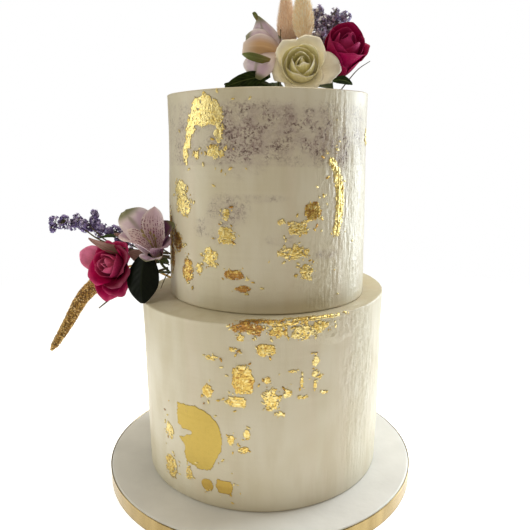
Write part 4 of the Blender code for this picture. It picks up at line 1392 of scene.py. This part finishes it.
def lily_finish(name, throat_low, throat_and_shade_colour):
    """Lilac, paler at the edges, with green at outer tips and maroon dashes on inner petals."""
    # The petals emit a little of their own colour: a painted glow for light passing through them.
    finish = Finish(name, roughness=0.5, specular_ior_level=0.3, emission_strength=PAINTED_PETAL_GLOW)
    along = finish.mark("along")
    across = finish.mark("across")
    tone = finish.mark("tone")
    inner = finish.mark("inner")
    drift = finish.step(finish.grain(0.012, 2), 0.3, 0.7)
    lilac = finish.blend(drift, (0.66, 0.50, 0.66), (0.86, 0.75, 0.83))
    lilac = finish.blend(inner * 0.35, lilac, (0.60, 0.40, 0.34))
    edge = finish.step(abs(across), 0.55, 1.0)
    colour = finish.blend(edge * 0.5, lilac, (0.93, 0.87, 0.86))
    peach = finish.step(tone, 0.5, 1.0)
    rim = finish.step(abs(across), 0.25, 1.0)
    colour = finish.blend(peach * (1 - 0.9 * rim), colour, (0.78, 0.50, 0.28))
    colour = finish.blend(peach * finish.step(along, 0.66, 1.0) * 0.85, colour, (0.90, 0.76, 0.70))
    plum = finish.step(0 - tone, 0.1, 0.9)
    colour = finish.blend(plum, colour, (0.17, 0.06, 0.14))
    colour = finish.blend(finish.step(0 - tone, 1.2, 1.5), colour, (0.13, 0.15, 0.04))
    rib = finish.step(1 - abs(across), 0.78, 1.0)
    tip = finish.step(along, 0.80, 0.95)
    ribbed = rib * finish.step(along, 0.25, 0.9) * 0.7
    green = (1 - inner) * (1 - peach) * finish.maths("MAXIMUM", tip, ribbed)
    colour = finish.blend(green * 0.85, colour, (0.17, 0.20, 0.06))
    lines = finish.step((across * 30 + finish.grain(0.005, 2, offset=13) * 9).sine(), -0.1, 0.6)
    dashes = finish.step((along * 74 + finish.grain(0.003, 1) * 20).sine(), -0.4, 0.2)
    reach = finish.step(along, 0.12, 0.3) * finish.step(1 - along, 0.12, 0.3)
    colour = finish.blend(inner * lines * dashes * reach * 0.9, colour, (0.22, 0.04, 0.12))
    # Each petal darkens from its base to the throat colour: on the open lily the throat's own colour, on the
    # half-open lily a dark brown over most of the petal, painted shade deep inside the flower.
    throat = finish.step(1 - along, throat_low, 1.0)
    colour = finish.blend(throat * 0.8, colour, throat_and_shade_colour)
    veins = (across * 30).sine()
    return finish.paint(base_color=colour, emission_color=colour, normal=finish.relief(veins, 0.0002, 0.12))


OPEN_LILY = lily_finish("open_lily_petal", 0.72, (0.45, 0.34, 0.10))
# The half-open lily's dark brown throat, reaching far along each petal, is painted shade.
HALF_OPEN_LILY = lily_finish("half_open_lily_petal", 0.28, (0.26, 0.15, 0.05))


def anther_finish():
    finish = Finish("anther", roughness=0.7)
    colour = finish.blend(finish.grain(0.001, 2), (0.22, 0.15, 0.06), (0.42, 0.33, 0.16))
    return finish.paint(base_color=colour)


ANTHER = anther_finish()
print("lily finishes:", OPEN_LILY.name, HALF_OPEN_LILY.name, ANTHER.name)

# %% Build a lily
def build_lily(name, node, base, facing, tepals, stem_end, tones, seed):
    draw = random.Random(seed)
    base = Vector(base) * MM
    turn, origin = placing(base, facing)
    lily = Gathering("along", "across", "tone", "inner")
    for tepal, tone in zip(tepals, tones):
        surface = tepal_surface(tepal, draw)
        inner = float(tepal.heart == INNER_HEART)
        lily.add_sheet(surface, 21, 40, 0.5 * MM, 0.4, (turn, origin), tone=tone, inner=inner)
    made = lily.finish(name, OPEN_LILY)
    add_stem(made, base, facing, Vector(stem_end) * MM)
    join_into(made, build_stamens(base, facing, max(t.length for t in tepals) * 0.62, draw))
    ride_root(made, "lilac_petal", node)


def stamen_radius(share):
    """A thin filament that swells into a pollen sac at its end."""
    sac = max(0.0, share - 0.86) / 0.14
    return (0.35 + 0.8 * math.sin(math.pi * sac)) * MM


def build_stamens(base, facing, length, draw):
    """Six thin filaments that curve out of the throat, each with a small pollen sac at its end."""
    turn, origin = placing(base, facing)
    stamens = Gathering("along", "across", "tone", "inner")
    for k in range(6):
        around = 2 * math.pi * (k + draw.uniform(-0.2, 0.2)) / 6
        lean = draw.uniform(0.12, 0.3)
        out = Vector((math.cos(around), math.sin(around), 0))
        reach = length * draw.uniform(0.8, 1.05)
        knots = [out * 1.0 * MM, out * reach * lean * 0.4 + Vector((0, 0, reach * 0.5))]
        knots.append(out * reach * lean + Vector((0, 0, reach)))
        knots = [Vector(placed([tuple(knot)], turn, origin)[0]) for knot in knots]
        stamens.add(*tube_shape(knots, stamen_radius, 22, 7))
    return stamens.finish("stamens", ANTHER)


# %% Petals of a half-open lily
@dataclass
class Lobe:
    """A petal by its rib's three knots, the way it is broad, its width and its cup, in millimetres."""

    base: tuple
    middle: tuple
    tip: tuple
    across: tuple
    width: float
    cup: float
    taper: float = 0.86
    tone: float = 0.0
    inner: float = 1.0
    blunt: float = 2.6


def rib_of(shape):
    """Where a rib through three knots is, and the two ways across it."""
    rib = knots_from((shape.base, shape.middle, shape.tip))
    bow = rib[1] * 2 - rib[0] * 0.5 - rib[2] * 0.5
    spine = (rib[2] - rib[0]).normalized()
    side = Vector(shape.across)
    side = (side - spine * side.dot(spine)).normalized()

    def place_at(along):
        return rib[0] * (1 - along) ** 2 + bow * 2 * along * (1 - along) + rib[2] * along**2

    return place_at, side, side.cross(spine)


def lobe_surface(lobe, draw):
    place_at, side, front = rib_of(lobe)
    wave = draw.uniform(0, 6)

    def point_at(across, along):
        rising = min(1, along / TEPAL_WIDEST)
        falling = max(0, along - TEPAL_WIDEST) / (1 - TEPAL_WIDEST)
        swell = 0.3 + 0.7 * math.sin(rising * math.pi / 2)
        width = lobe.width / 2 * swell * (1 - lobe.taper * falling**lobe.blunt)
        cup = lobe.cup * (1 - across**2) * math.sin(math.pi * (0.1 + 0.8 * along))
        crease = 0.5 * math.exp(-((across / 0.14) ** 2)) * math.sin(math.pi * along)
        ruffle = 0.9 * across**2 * math.sin(8 * along + wave) * along
        return place_at(along) + side * (width * MM * across) + front * ((cup + crease + ruffle) * MM)

    return point_at


def build_half_open_lily(name, node, base, facing, lobes, stem_end, seed):
    draw = random.Random(seed)
    lily = Gathering("along", "across", "tone", "inner")
    for lobe in lobes:
        lily.add_sheet(lobe_surface(lobe, draw), 25, 36, 0.5 * MM, 0.4, tone=lobe.tone, inner=lobe.inner)
    made = lily.finish(name, HALF_OPEN_LILY)
    add_stem(made, Vector(base) * MM, facing, Vector(stem_end) * MM)
    ride_root(made, "lilac_petal", node)


# %% The lilies
build_half_open_lily(
    "lily_top_bloom", "lily_top", base=(11, -36, 356), facing=(-0.5, -0.3, 0.8),
    lobes=(
        Lobe((6, -36, 356), (4.5, -41, 376), (-1.0, -46, 394), (1, -0.15, 0.2), 21, 3, 0.97, 0.0, 0.0, 1.2),
        Lobe(
            (-1.2, -45, 389.5), (-2.6, -46, 393.5), (-4.8, -46, 396.5), (1, 0, 0.4), 3.2, 0.4, 0.5, -1.6, 0.0
        ),
        Lobe((18, -34, 372), (3, -45, 376.5), (-11, -44, 377), (0.1, -0.1, 1), 16, 4, 0.6, 0.58, 0.0),
        Lobe((20, -34, 366), (4, -49, 370.5), (-13, -49, 370.5), (0.1, 0.0, 1), 20, 1.6, 0.6, 1.0, 0.0, 1.7),
        Lobe((11, -43, 369), (0, -53, 360), (-2.5, -54, 347.5), (-1, 0.1, -0.3), 26, 3, 0.7, 0.1, 0.0, 1.9),
        Lobe((16, -46, 359), (1, -59, 361.5), (-13, -55.5, 365.5), (0.1, -0.2, 1), 6, 1.2, 0.9, -1.6, 0.0),
        Lobe((12, -33, 358), (15, -34, 370), (13, -38, 382), (1, 0.3, 0), 12, 2, 0.8, 0.5, 0.0),
        Lobe((9, -32, 358), (0, -30, 370), (-8, -31, 380), (-1, 0.2, -0.5), 15, 3, 0.8, 0.5, 1.0),
    ),
    stem_end=(15, -27, 341.3), seed=4,
)
build_lily(
    "lily_side_bloom", "lily_side", base=(-86, -29.5, 206), facing=(-0.17, -0.52, 0.84),
    tepals=(
        Tepal(94, 43 * MM, 11.5 * MM, 10, 50, 16 * MM, INNER_HEART, 0.99),
        Tepal(152, 47 * MM, 17 * MM, 14, 60, 17 * MM, OUTER_HEART),
        Tepal(205, 40 * MM, 11 * MM, 10, 62, 13 * MM, INNER_HEART),
        Tepal(265, 18 * MM, 10 * MM, 24, 80, 16 * MM, OUTER_HEART),
        Tepal(335, 33 * MM, 10 * MM, 10, 74, 12 * MM, INNER_HEART),
        Tepal(35, 34 * MM, 13 * MM, 12, 56, 15 * MM, OUTER_HEART),
    ),
    stem_end=(-80.8, -14, 190), tones=(-0.12, 0.1, 0.0, 0.1, -0.6, -0.9), seed=7,
)

# %% [markdown]
# ## Bunny-tail grass
# A bunny tail is a soft egg of down on a straw. The egg's core is hidden under thousands of fine
# bristles that lie towards the tip, and those make its pale, blurred outline.

# %% Bunny tails
PAINTED_DOWN_GLOW = 0.08


def down_finish(name, dark, middle, pale, foot, low, high):
    """Down with a painted glow that stands in for light passing through it. Below a height it darkens to a
    foot colour: the straw's own colour, and painted shade under the head.
    """
    finish = Finish(name, roughness=0.85, sheen_weight=0.4, emission_strength=PAINTED_DOWN_GLOW)
    colour = finish.ramp(finish.mark("tone"), ((0.0, dark), (0.5, middle), (1.0, pale)))
    height = finish.node("ShaderNodeSeparateXYZ", None, {0: finish.place}, output="Z")
    # Painted shade: the lower part of the head and the straw below it take the darker foot colour.
    colour = finish.blend(finish.step(height, low * MM, high * MM), foot, colour)
    return finish.paint(base_color=colour, emission_color=colour)


PEACH_DOWN = down_finish(
    "bunny_tail_peach", (0.66, 0.42, 0.26), (0.95, 0.74, 0.54), (0.99, 0.89, 0.77),
    foot=(0.34, 0.18, 0.10), low=374, high=394,
)
CREAM_DOWN = down_finish(
    "bunny_tail_cream", (0.78, 0.55, 0.26), (0.98, 0.85, 0.60), (1.0, 0.97, 0.90),
    foot=(0.70, 0.48, 0.28), low=372, high=386,
)


def egg_shape(low, high, radius, rings=26, sides=28):
    """The grass head's core, as wide as its solid without the down."""

    def reach(share):
        return radius * max(0.2, math.sin(math.pi * (0.06 + 0.86 * share) ** 0.6))

    return tube_shape([low, (low + high) / 2, high], reach, rings, sides)


def bristle_shape():
    rings = ((0.0, 0.05), (0.5, 0.035), (1.0, 0.006))
    points = []
    for up, wide in rings:
        for k in range(3):
            turn = 2 * math.pi * k / 3
            points.append((wide * math.cos(turn) + 0.12 * up**2, wide * math.sin(turn), up))
    faces = grid_faces(3, 3, wrap=True) + [(2, 1, 0), (6, 7, 8)]
    return hidden_shape("bristle", points, faces)


def build_bunny_tail(name, node, finish, foot, low, high, radius, seed):
    low = Vector(low) * MM
    high = Vector(high) * MM
    foot = Vector(foot) * MM
    head = plain_piece(name, finish, egg_shape(low, high, radius * 0.84), tone=0.3)
    recipe = Recipe("down_" + name, density=1900000.0, longest=3.8 * MM, shortest=1.8 * MM, seed=seed)
    inputs = {"Mesh": recipe.start.outputs[0], "Density": recipe.size("density"), "Seed": recipe.size("seed")}
    points = recipe.node("GeometryNodeDistributePointsOnFaces", None, inputs)
    normal = points.node.outputs["Normal"]
    axis = tuple((high - low).normalized() * 1.5)
    lying = recipe.node("ShaderNodeVectorMath", {"operation": "ADD"}, {0: normal, 1: axis})
    rotation = recipe.turn_towards(lying, seed)
    length = recipe.random(recipe.size("shortest"), recipe.size("longest"), 2)
    shape = bristle_shape()
    copies = recipe.copies(points, shape, rotation, length, 6)
    recipe.cover(head, copies, finish)
    bpy.data.objects.remove(shape)
    inside = low + (high - low) * 0.15
    straw = tube_shape([inside, (inside + foot) / 2, foot], lambda share: 0.7 * MM, 14, 10)
    join_into(head, plain_piece("straw", finish, straw, tone=0.1))
    ride_root(head, "bunny_tail", node)


build_bunny_tail(
    "bunny_tail_left_head", "bunny_tail_left", PEACH_DOWN,
    (27, -14, 340.7), (23, -17, 377), (20.5, -19, 417), 8.4 * MM, 1,
)
build_bunny_tail(
    "bunny_tail_right_head", "bunny_tail_right", CREAM_DOWN,
    (35, -26, 340.7), (34.5, -33, 380), (32, -38, 417), 8.4 * MM, 2,
)

# %% [markdown]
# ## Sea lavender
# Sea lavender carries sprays of papery florets a couple of millimetres wide. Each floret is a small
# five-lobed funnel. Florets crowd in clusters along thin branching stems, so their places are worked
# out first, cluster by cluster, and a recipe puts a floret on each.

# %% Florets
FLORET_MIN = 0.95 * MM
FLORET_MAX = 1.65 * MM


def floret_shape():
    rings = ((0.0, -0.9, 0.12), (1.0, 0.0, 0.45), (1.0, 0.35, 1.0))
    sides = 10
    points = []
    for lobes, up, wide in rings:
        for k in range(sides):
            turn = 2 * math.pi * k / sides
            reach = wide * (1 + 0.28 * lobes * (1 if k % 2 else -1))
            points.append((reach * math.cos(turn), reach * math.sin(turn), up))
    points.append((0, 0, 0.05))
    faces = grid_faces(3, sides, wrap=True)
    faces.append(tuple(reversed(range(sides))))
    faces += [(2 * sides + k, 2 * sides + (k + 1) % sides, 3 * sides) for k in range(sides)]
    return hidden_shape("floret", points, faces)


def floret_finish(name, shaded, middle, bright, bleached):
    finish = Finish(name, roughness=0.7)
    stops = ((0.0, shaded), (0.35, middle), (0.7, bright), (1.0, bleached))
    return finish.paint(base_color=finish.ramp(finish.mark("tone"), stops))


def twig_finish():
    finish = Finish("dry_twig", roughness=0.65)
    colour = finish.blend(finish.grain(0.003, 2), (0.05, 0.05, 0.02), (0.15, 0.12, 0.06))
    return finish.paint(base_color=colour, normal=finish.relief(finish.grain(0.0008, 2), 0.0002, 0.4))


PALE_FLORET = floret_finish(
    "pale_floret", (0.24, 0.19, 0.30), (0.36, 0.31, 0.54), (0.58, 0.55, 0.84), (0.90, 0.89, 0.97)
)
DEEP_FLORET = floret_finish(
    "deep_floret", (0.10, 0.07, 0.18), (0.20, 0.15, 0.40), (0.38, 0.31, 0.66), (0.68, 0.63, 0.88)
)
TWIG = twig_finish()


def cluster_places(branches, draw):
    """The middle, direction, width and root of each cluster, drawn in the solid's own order."""
    clusters = []
    for knots, count, size in branches:
        path = curve_points(knots_from(knots), count)
        for k, here in enumerate(path):
            ahead = (path[min(k + 1, count - 1)] - path[max(k - 1, 0)]).normalized()
            out = Vector((draw.uniform(-1, 1), draw.uniform(-1, 1), draw.uniform(-0.6, 1.1)))
            out = (out - ahead * out.dot(ahead) * 0.8).normalized()
            wide = size * MM * draw.uniform(0.8, 1.15)
            clusters.append((here + out * wide * 0.9, out, wide, here))
    return clusters


def build_sea_lavender(name, node, finish, stalk_knots, branches, seed, florets=26):
    clusters = cluster_places(branches, random.Random(seed))
    draw = random.Random(seed + 50)
    twigs = Gathering()
    twigs.add(*tube_shape(knots_from(stalk_knots), lambda share: (1.0 - 0.4 * share) * MM, 26, 8))
    for knots, _, _ in branches:
        twigs.add(*tube_shape(knots_from(knots), lambda share: (0.8 - 0.4 * share) * MM, 18, 7))
    places = []
    directions = []
    for centre, out, wide, root in clusters:
        for _ in range(florets):
            way = Vector((draw.gauss(0, 1), draw.gauss(0, 1), draw.gauss(0, 1))).normalized()
            way = (way + out * 0.35).normalized()
            place = centre - out * wide * 0.25 + way * wide * draw.uniform(0.6, 1.0)
            places.append(place)
            directions.append(way)
            if draw.random() < 0.35:
                bowed = (root + place) / 2 + way * 0.4 * MM
                twigs.add(*tube_shape([root, bowed, place], lambda share: 0.28 * MM, 5, 5))
    shape = floret_shape()
    cloud = scatter(name, "florets_", places, directions, shape, FLORET_MIN, FLORET_MAX, seed, 4, 8, finish)
    join_into(cloud, twigs.finish("twigs", TWIG))
    ride_root(cloud, "sea_lavender", node)


# %% The sprays
build_sea_lavender(
    "sea_lavender_top_spray", "sea_lavender_top", PALE_FLORET,
    ((37, -8, 341), (43, -10, 355), (49, -12, 372), (52, -12, 384)),
    (
        (((47, -12, 370), (46, -14, 386), (45, -17, 404)), 11, 4.5),
        (((50, -12, 374), (55, -14, 390), (59, -18, 402)), 9, 4.7),
        (((52, -10, 376), (60, -10, 391), (69, -12, 399)), 9, 4.3),
        (((48, -14, 374), (50, -17, 386), (53, -19, 397)), 8, 4.2),
        (((53, -14, 376), (60, -16, 385), (66, -17, 390)), 6, 4.0),
        (((50, -13, 374), (54, -14, 385), (58, -16, 395)), 6, 4.6),
    ),
    5, 36,
)
build_sea_lavender(
    "sea_lavender_side_spray", "sea_lavender_side", DEEP_FLORET,
    ((-81, 9, 196), (-100, 5, 203), (-122, 2, 213), (-146, 0, 226)),
    (
        (((-143, 0, 223), (-160, -3, 233), (-184, -6, 229.5)), 14, 4.7),
        (((-118, 2, 212), (-129, 0, 223), (-141, -2, 228)), 9, 4.8),
        (((-145, 0, 228), (-148, -2, 240)), 5, 3.4),
    ),
    8, 32,
)

# %% [markdown]
# ## The millet spike
# Foxtail millet is a spindle packed with round seeds. The seeds are nearly the same size and touch,
# so Poisson-disk points suit them: no two points come closer than a set distance, and the seeds sink
# into each other only a little.

# %% Millet
MILLET_RADIUS = 7.6 * MM
MILLET_DENSITY = 2000000.0


def millet_finish():
    finish = Finish("millet_seed", roughness=0.5)
    stops = (
        (0.0, (0.16, 0.08, 0.015)),
        (0.3, (0.46, 0.26, 0.06)),
        (0.7, (0.74, 0.48, 0.13)),
        (1.0, (0.96, 0.76, 0.38)),
    )
    return finish.paint(base_color=finish.ramp(finish.mark("tone"), stops))


def seed_shape():
    work = bmesh.new()
    bmesh.ops.create_icosphere(work, subdivisions=1, radius=1)
    work.verts.index_update()
    points = [(vert.co.x * 0.9, vert.co.y, vert.co.z * 1.25) for vert in work.verts]
    faces = [[vert.index for vert in face.verts] for face in work.faces]
    work.free()
    return hidden_shape("seed", points, faces)


def build_millet():
    knots = knots_from(((-143, 14, 180), (-165, 10, 160.5), (-180, 3, 135), (-193, -6, 113.5)))

    def spindle(share):
        ends = min(1, 0.75 + 2 * share, 0.4 + 9 * (1 - share))
        return (MILLET_RADIUS - 0.8 * MM) * (1 - 0.64 * share**1.3) * ends

    finish = millet_finish()
    # The core shows only in the gaps between the seeds and takes the darkest tone: painted shade between the
    # seeds.
    spike = plain_piece("millet_spike_head", finish, tube_shape(knots, spindle, 40, 20), tone=0.0)
    recipe = Recipe("millet_seeds", apart=1.05 * MM, smallest=0.62 * MM, largest=1.0 * MM, seed=3)
    inputs = {
        "Mesh": recipe.start.outputs[0],
        "Distance Min": recipe.size("apart"),
        "Density Max": MILLET_DENSITY,
        "Seed": recipe.size("seed"),
    }
    points = recipe.node("GeometryNodeDistributePointsOnFaces", {"distribute_method": "POISSON"}, inputs)
    rotation = recipe.turn_towards(points.node.outputs["Normal"], recipe.size("seed"))
    spread = recipe.random(recipe.size("smallest"), recipe.size("largest"), 4)
    shape = seed_shape()
    copies = recipe.copies(points, shape, rotation, spread, 8)
    recipe.cover(spike, copies, finish)
    bpy.data.objects.remove(shape)
    straw_knots = knots_from(((-145, 14, 178.5), (-114, 15, 189), (-80.5, 8, 178)))
    straw = tube_shape(straw_knots, lambda share: 1.0 * MM, 20, 10)
    join_into(spike, plain_piece("straw", finish, straw, tone=0.6))
    ride_root(spike, "millet", "millet_spike")


build_millet()

# %% [markdown]
# ## Leaves
# The leaves are dark and waxy, folded along the rib and waved at the edge. The rib and side veins are
# pressed into the sheet itself, and the material adds a paler rib, paler side veins and the wax's uneven
# gloss. A leaf that lies in shadow is painted near black, as painted shade.

# %% Leaves
@dataclass
class Leaf:
    """A leaf by the three knots of its rib and the way it is broad, in millimetres."""

    name: str
    base: tuple
    middle: tuple
    tip: tuple
    across: tuple
    width: float
    fold: float
    # shade paints the leaf near black, as painted shade where it lies in shadow.
    shade: float = 0.0


LEAVES = (
    Leaf("leaf_top_left", (8, -51.5, 350.5), (-9, -56, 347.5), (-26, -60, 341.6), (-0.1, -0.35, 1), 11, 1),
    Leaf("leaf_top_left_back", (12, -20, 345), (-6, -26, 349), (-28, -34, 346), (0.3, -1, 0.4), 13, 2),
    Leaf("leaf_top_right", (54, -63, 345.5), (61, -66, 346), (68.5, -65, 343), (0.1, -0.4, 1), 6, 0.6),
    Leaf("leaf_top_back", (42, 4, 343.5), (52, 14, 349), (64, 27, 348), (0.7, -0.7, 0.2), 17, 2),
    Leaf("leaf_top_back_left", (20, 4, 343.5), (10, 13, 349), (-4, 22, 347), (0.7, 0.7, 0.2), 16, 2),
    Leaf("leaf_side_dark", (-96, -34, 210), (-99, -43, 190), (-98, -47, 170), (1, -0.2, 0.25), 29, 3, 1.0),
    Leaf("leaf_side_back", (-86, 18, 190), (-99, 24, 191), (-115, 28, 184), (0.2, 1, 0.3), 16, 2),
    Leaf("leaf_side_upper", (-114, -9, 219), (-127, -13, 221), (-141, -15, 219.5), (0.25, 1, 0.2), 7, 1),
)


def leaf_surface(leaf, draw):
    place_at, side, up = rib_of(leaf)
    wave_start = draw.uniform(0, 6)

    def point_at(across, along):
        swell = math.sin(math.pi * (0.04 + 0.94 * along))
        wave = 0.12 * leaf.fold * math.sin(11 * along) * across
        wave += 0.25 * across**2 * math.sin(16 * along + wave_start)
        veins = 0.12 * math.sin(2 * math.pi * (7 * along - 2.2 * abs(across))) * min(1, 4 * abs(across))
        fold = (leaf.fold * abs(across) * swell + wave + veins * swell) * MM
        return place_at(along) + side * (leaf.width / 2 * MM * (swell**0.8 + 0.03) * across) + up * fold

    return point_at


def leaf_finish():
    finish = Finish("waxy_leaf", specular_ior_level=0.12)
    along = finish.mark("along")
    across = finish.mark("across")
    drift = finish.step(finish.grain(0.008, 3), 0.3, 0.7)
    green = finish.blend(drift, (0.008, 0.018, 0.004), (0.028, 0.052, 0.010))
    rib = finish.step(1 - abs(across), 0.9, 1.0)
    green = finish.blend(rib * 0.6, green, (0.16, 0.20, 0.07))
    side = finish.step(((along * 7 - abs(across) * 2.2) * 6.283).sine(), 0.8, 1.0)
    green = finish.blend(side * 0.3, green, (0.08, 0.13, 0.04))
    # Painted shade: the shade mark blends a leaf towards near black.
    green = finish.blend(finish.mark("shade") * 0.93, green, (0.001, 0.002, 0.001))
    wax = finish.grain(0.003, 2, offset=6)
    return finish.paint(base_color=green, roughness=0.34 + 0.25 * wax, normal=finish.relief(wax, 0.0002, 0.3))


LEAF = leaf_finish()
for number, leaf in enumerate(LEAVES):
    blade = Gathering("along", "across", "shade")
    blade.add_sheet(leaf_surface(leaf, random.Random(number)), 25, 49, 0.6 * MM, shade=leaf.shade)
    ride_root(blade.finish(leaf.name + "_blade", LEAF), "leaf", leaf.name)

# %% [markdown]
# ## Loose stems and small leaves
# Between the flowers a florist tucks thin stems and dry sepals. They are too small to carry anything,
# so they have no solid, but without them the sprays look tidy and new.

# %% Twigs among the flowers
def build_twigs(name, routes):
    twigs = Gathering()
    for knots, thick in routes:
        twigs.add(*tube_shape(knots_from(knots), lambda share, t=thick: t * (1 - 0.5 * share) * MM, 16, 8))
    ride_root(twigs.finish(name, TWIG), "leaf")


SEPALS = (
    Leaf("sepal_long", (-112, -18, 210), (-128, -24, 213), (-147, -22, 221), (0.2, -0.4, 1), 9, 1.5),
    Leaf("sepal_short", (-106, -14, 214), (-116, -18, 221), (-126, -18, 224), (0.3, -0.3, 1), 6, 1),
    Leaf("sepal_shaded", (-91, -14, 197), (-101, -20, 204), (-113, -23, 209), (0.2, -0.5, 1), 17, 1),
)


def dry_sepal():
    finish = Finish("dry_sepal", roughness=0.7)
    along = finish.mark("along")
    colour = finish.blend(finish.step(along, 0.1, 0.9), (0.10, 0.07, 0.03), (0.36, 0.20, 0.17))
    streak = finish.step((finish.mark("across") * 16).sine(), 0.2, 0.9)
    colour = finish.blend(streak * 0.35, colour, (0.08, 0.04, 0.03))
    return finish.paint(base_color=colour, normal=finish.relief(streak, 0.0003, 0.4))


SEPAL = dry_sepal()
for number, leaf in enumerate(SEPALS):
    blade = Gathering("along", "across")
    blade.add_sheet(leaf_surface(leaf, random.Random(20 + number)), 17, 33, 0.5 * MM)
    ride_root(blade.finish(leaf.name, SEPAL), "leaf")

build_twigs(
    "side_twigs",
    (
        (((-82, -4, 204), (-109, -20, 210), (-126, -15, 213), (-142, -10, 218), (-154, -8, 226)), 1.2),
        (((-82, 2, 200), (-110, -8, 206), (-134, -10, 216), (-150, -6, 229)), 1.0),
        (((-81.5, 3, 202), (-100, -2, 216), (-116, -6, 231)), 0.8),
        (((-82, -10, 192), (-112, -9, 181), (-135.6, -12, 163), (-145, -12, 155.5)), 1.1),
        (((-80, -16, 196), (-84, -30, 206), (-80, -38, 214)), 0.6),
        (((-79, -20, 190), (-80, -34, 190), (-83, -44, 182)), 0.6),
    ),
)
build_twigs(
    "top_twigs",
    (
        (((17, -30, 341), (15.5, -40, 360), (16, -44, 385)), 0.6),
        (((64, -30, 341), (76, -36, 356), (86, -38, 363)), 0.5),
        (((40, -20, 341), (50, -16, 370), (62, -18, 398)), 0.5),
        (((39, -10, 341), (43, -14, 374), (40, -17, 402)), 0.5),
        (((41, -12, 341), (46, -15, 376), (43, -18, 405)), 0.45),
        (((43, -13, 341), (48, -15, 372), (48, -19, 400)), 0.45),
        (((45, -10, 341), (50, -13, 370), (53, -16, 397)), 0.45),
        (((40, -8, 341), (42, -10, 368), (37, -13, 390)), 0.45),
    ),
)

# %% [markdown]
# ## Light
# The cake is lit by a strong cool window light from the right, a weaker one from the left, a warm one
# overhead and little from the front, which leaves the middle of each tier a warm half tone. Large
# soft lights suit cream, and the gold needs something bright to reflect. A white surround stands
# behind everything.

# %% Lights
def soft_light(name, place, target, width, tall, power, colour):
    data = bpy.data.lights.new(name, "AREA")
    data.shape = "RECTANGLE"
    data.size = width
    data.size_y = tall
    data.energy = power
    data.color = colour
    light = linked(name, data)
    light.location = place
    light.rotation_euler = (Vector(target) - Vector(place)).to_track_quat("-Z", "Y").to_euler()
    print(name, power, "W")


soft_light("window_right", (0.86, 0.40, 0.42), (0, 0, 0.2), 0.6, 0.9, 11.4, (0.86, 0.95, 1.0))
soft_light("window_left", (-0.95, 0.0, 0.4), (0, 0, 0.2), 0.5, 0.9, 3.6, (0.98, 1.0, 0.90))
soft_light("overhead", (0.15, 0.15, 1.2), (0, 0, 0.2), 0.7, 0.7, 6.5, (1.0, 0.91, 0.72))
soft_light("front_fill", (-0.1, -1.2, 0.8), (0, 0, 0.3), 0.9, 0.7, 2.2, (1.0, 0.85, 0.60))

SURROUND_FILL = 0.20
SURROUND_COLOUR = (1, 0.90, 0.74)
world = bpy.data.worlds.new("surround")
bpy.context.scene.world = world
world.use_nodes = True
nodes = world.node_tree.nodes
seen = nodes.new("ShaderNodeLightPath")
shade = nodes.new("ShaderNodeMix")
shade.data_type = "RGBA"
shade.inputs[6].default_value = tuple(SURROUND_FILL * part for part in SURROUND_COLOUR) + (1,)
shade.inputs[7].default_value = (1, 1, 1, 1)
world.node_tree.links.new(seen.outputs["Is Camera Ray"], shade.inputs[0])
world.node_tree.links.new(shade.outputs[2], nodes["Background"].inputs["Color"])
bpy.context.scene.view_settings.view_transform = "Standard"
print("surround fill", SURROUND_FILL)

# %% [markdown]
# ## The floor
# The floor is a pale disc that fades out into the white surround, so no horizon shows behind the
# cake. It isn't part of the object.

# %% Floor
FLOOR_RADIUS = 2.2


def floor_finish():
    finish = Finish("pale_floor", roughness=0.6, emission_strength=0.75)
    finish.shader.inputs["Emission Color"].default_value = (1, 1, 1, 1)
    apart = finish.node("ShaderNodeVectorMath", {"operation": "LENGTH"}, {0: finish.place}, output="Value")
    cloud = finish.grain(0.5, 2)
    colour = finish.blend(cloud * 0.3, (0.93, 0.93, 0.93), (0.89, 0.89, 0.90))
    return finish.paint(base_color=colour, alpha=1 - finish.step(apart, 0.3, 0.9))


def build_floor():
    columns = 96
    rings = [0.02, 0.3, 0.6, 0.9, 1.3, FLOOR_RADIUS]
    points = []
    for reach in rings:
        turns = [2 * math.pi * k / columns for k in range(columns)]
        points += [(reach * math.cos(turn), reach * math.sin(turn), -0.1 * MM) for turn in turns]
    faces = grid_faces(len(rings), columns, wrap=True)
    faces.append(tuple(range(columns)))
    made = plain_piece("floor", floor_finish(), (points, faces))
    work = bmesh.new()
    work.from_mesh(made.data)
    for face in work.faces:
        if face.normal.z < 0:
            face.normal_flip()
    work.to_mesh(made.data)
    work.free()


build_floor()

# %% Finish
print("done")
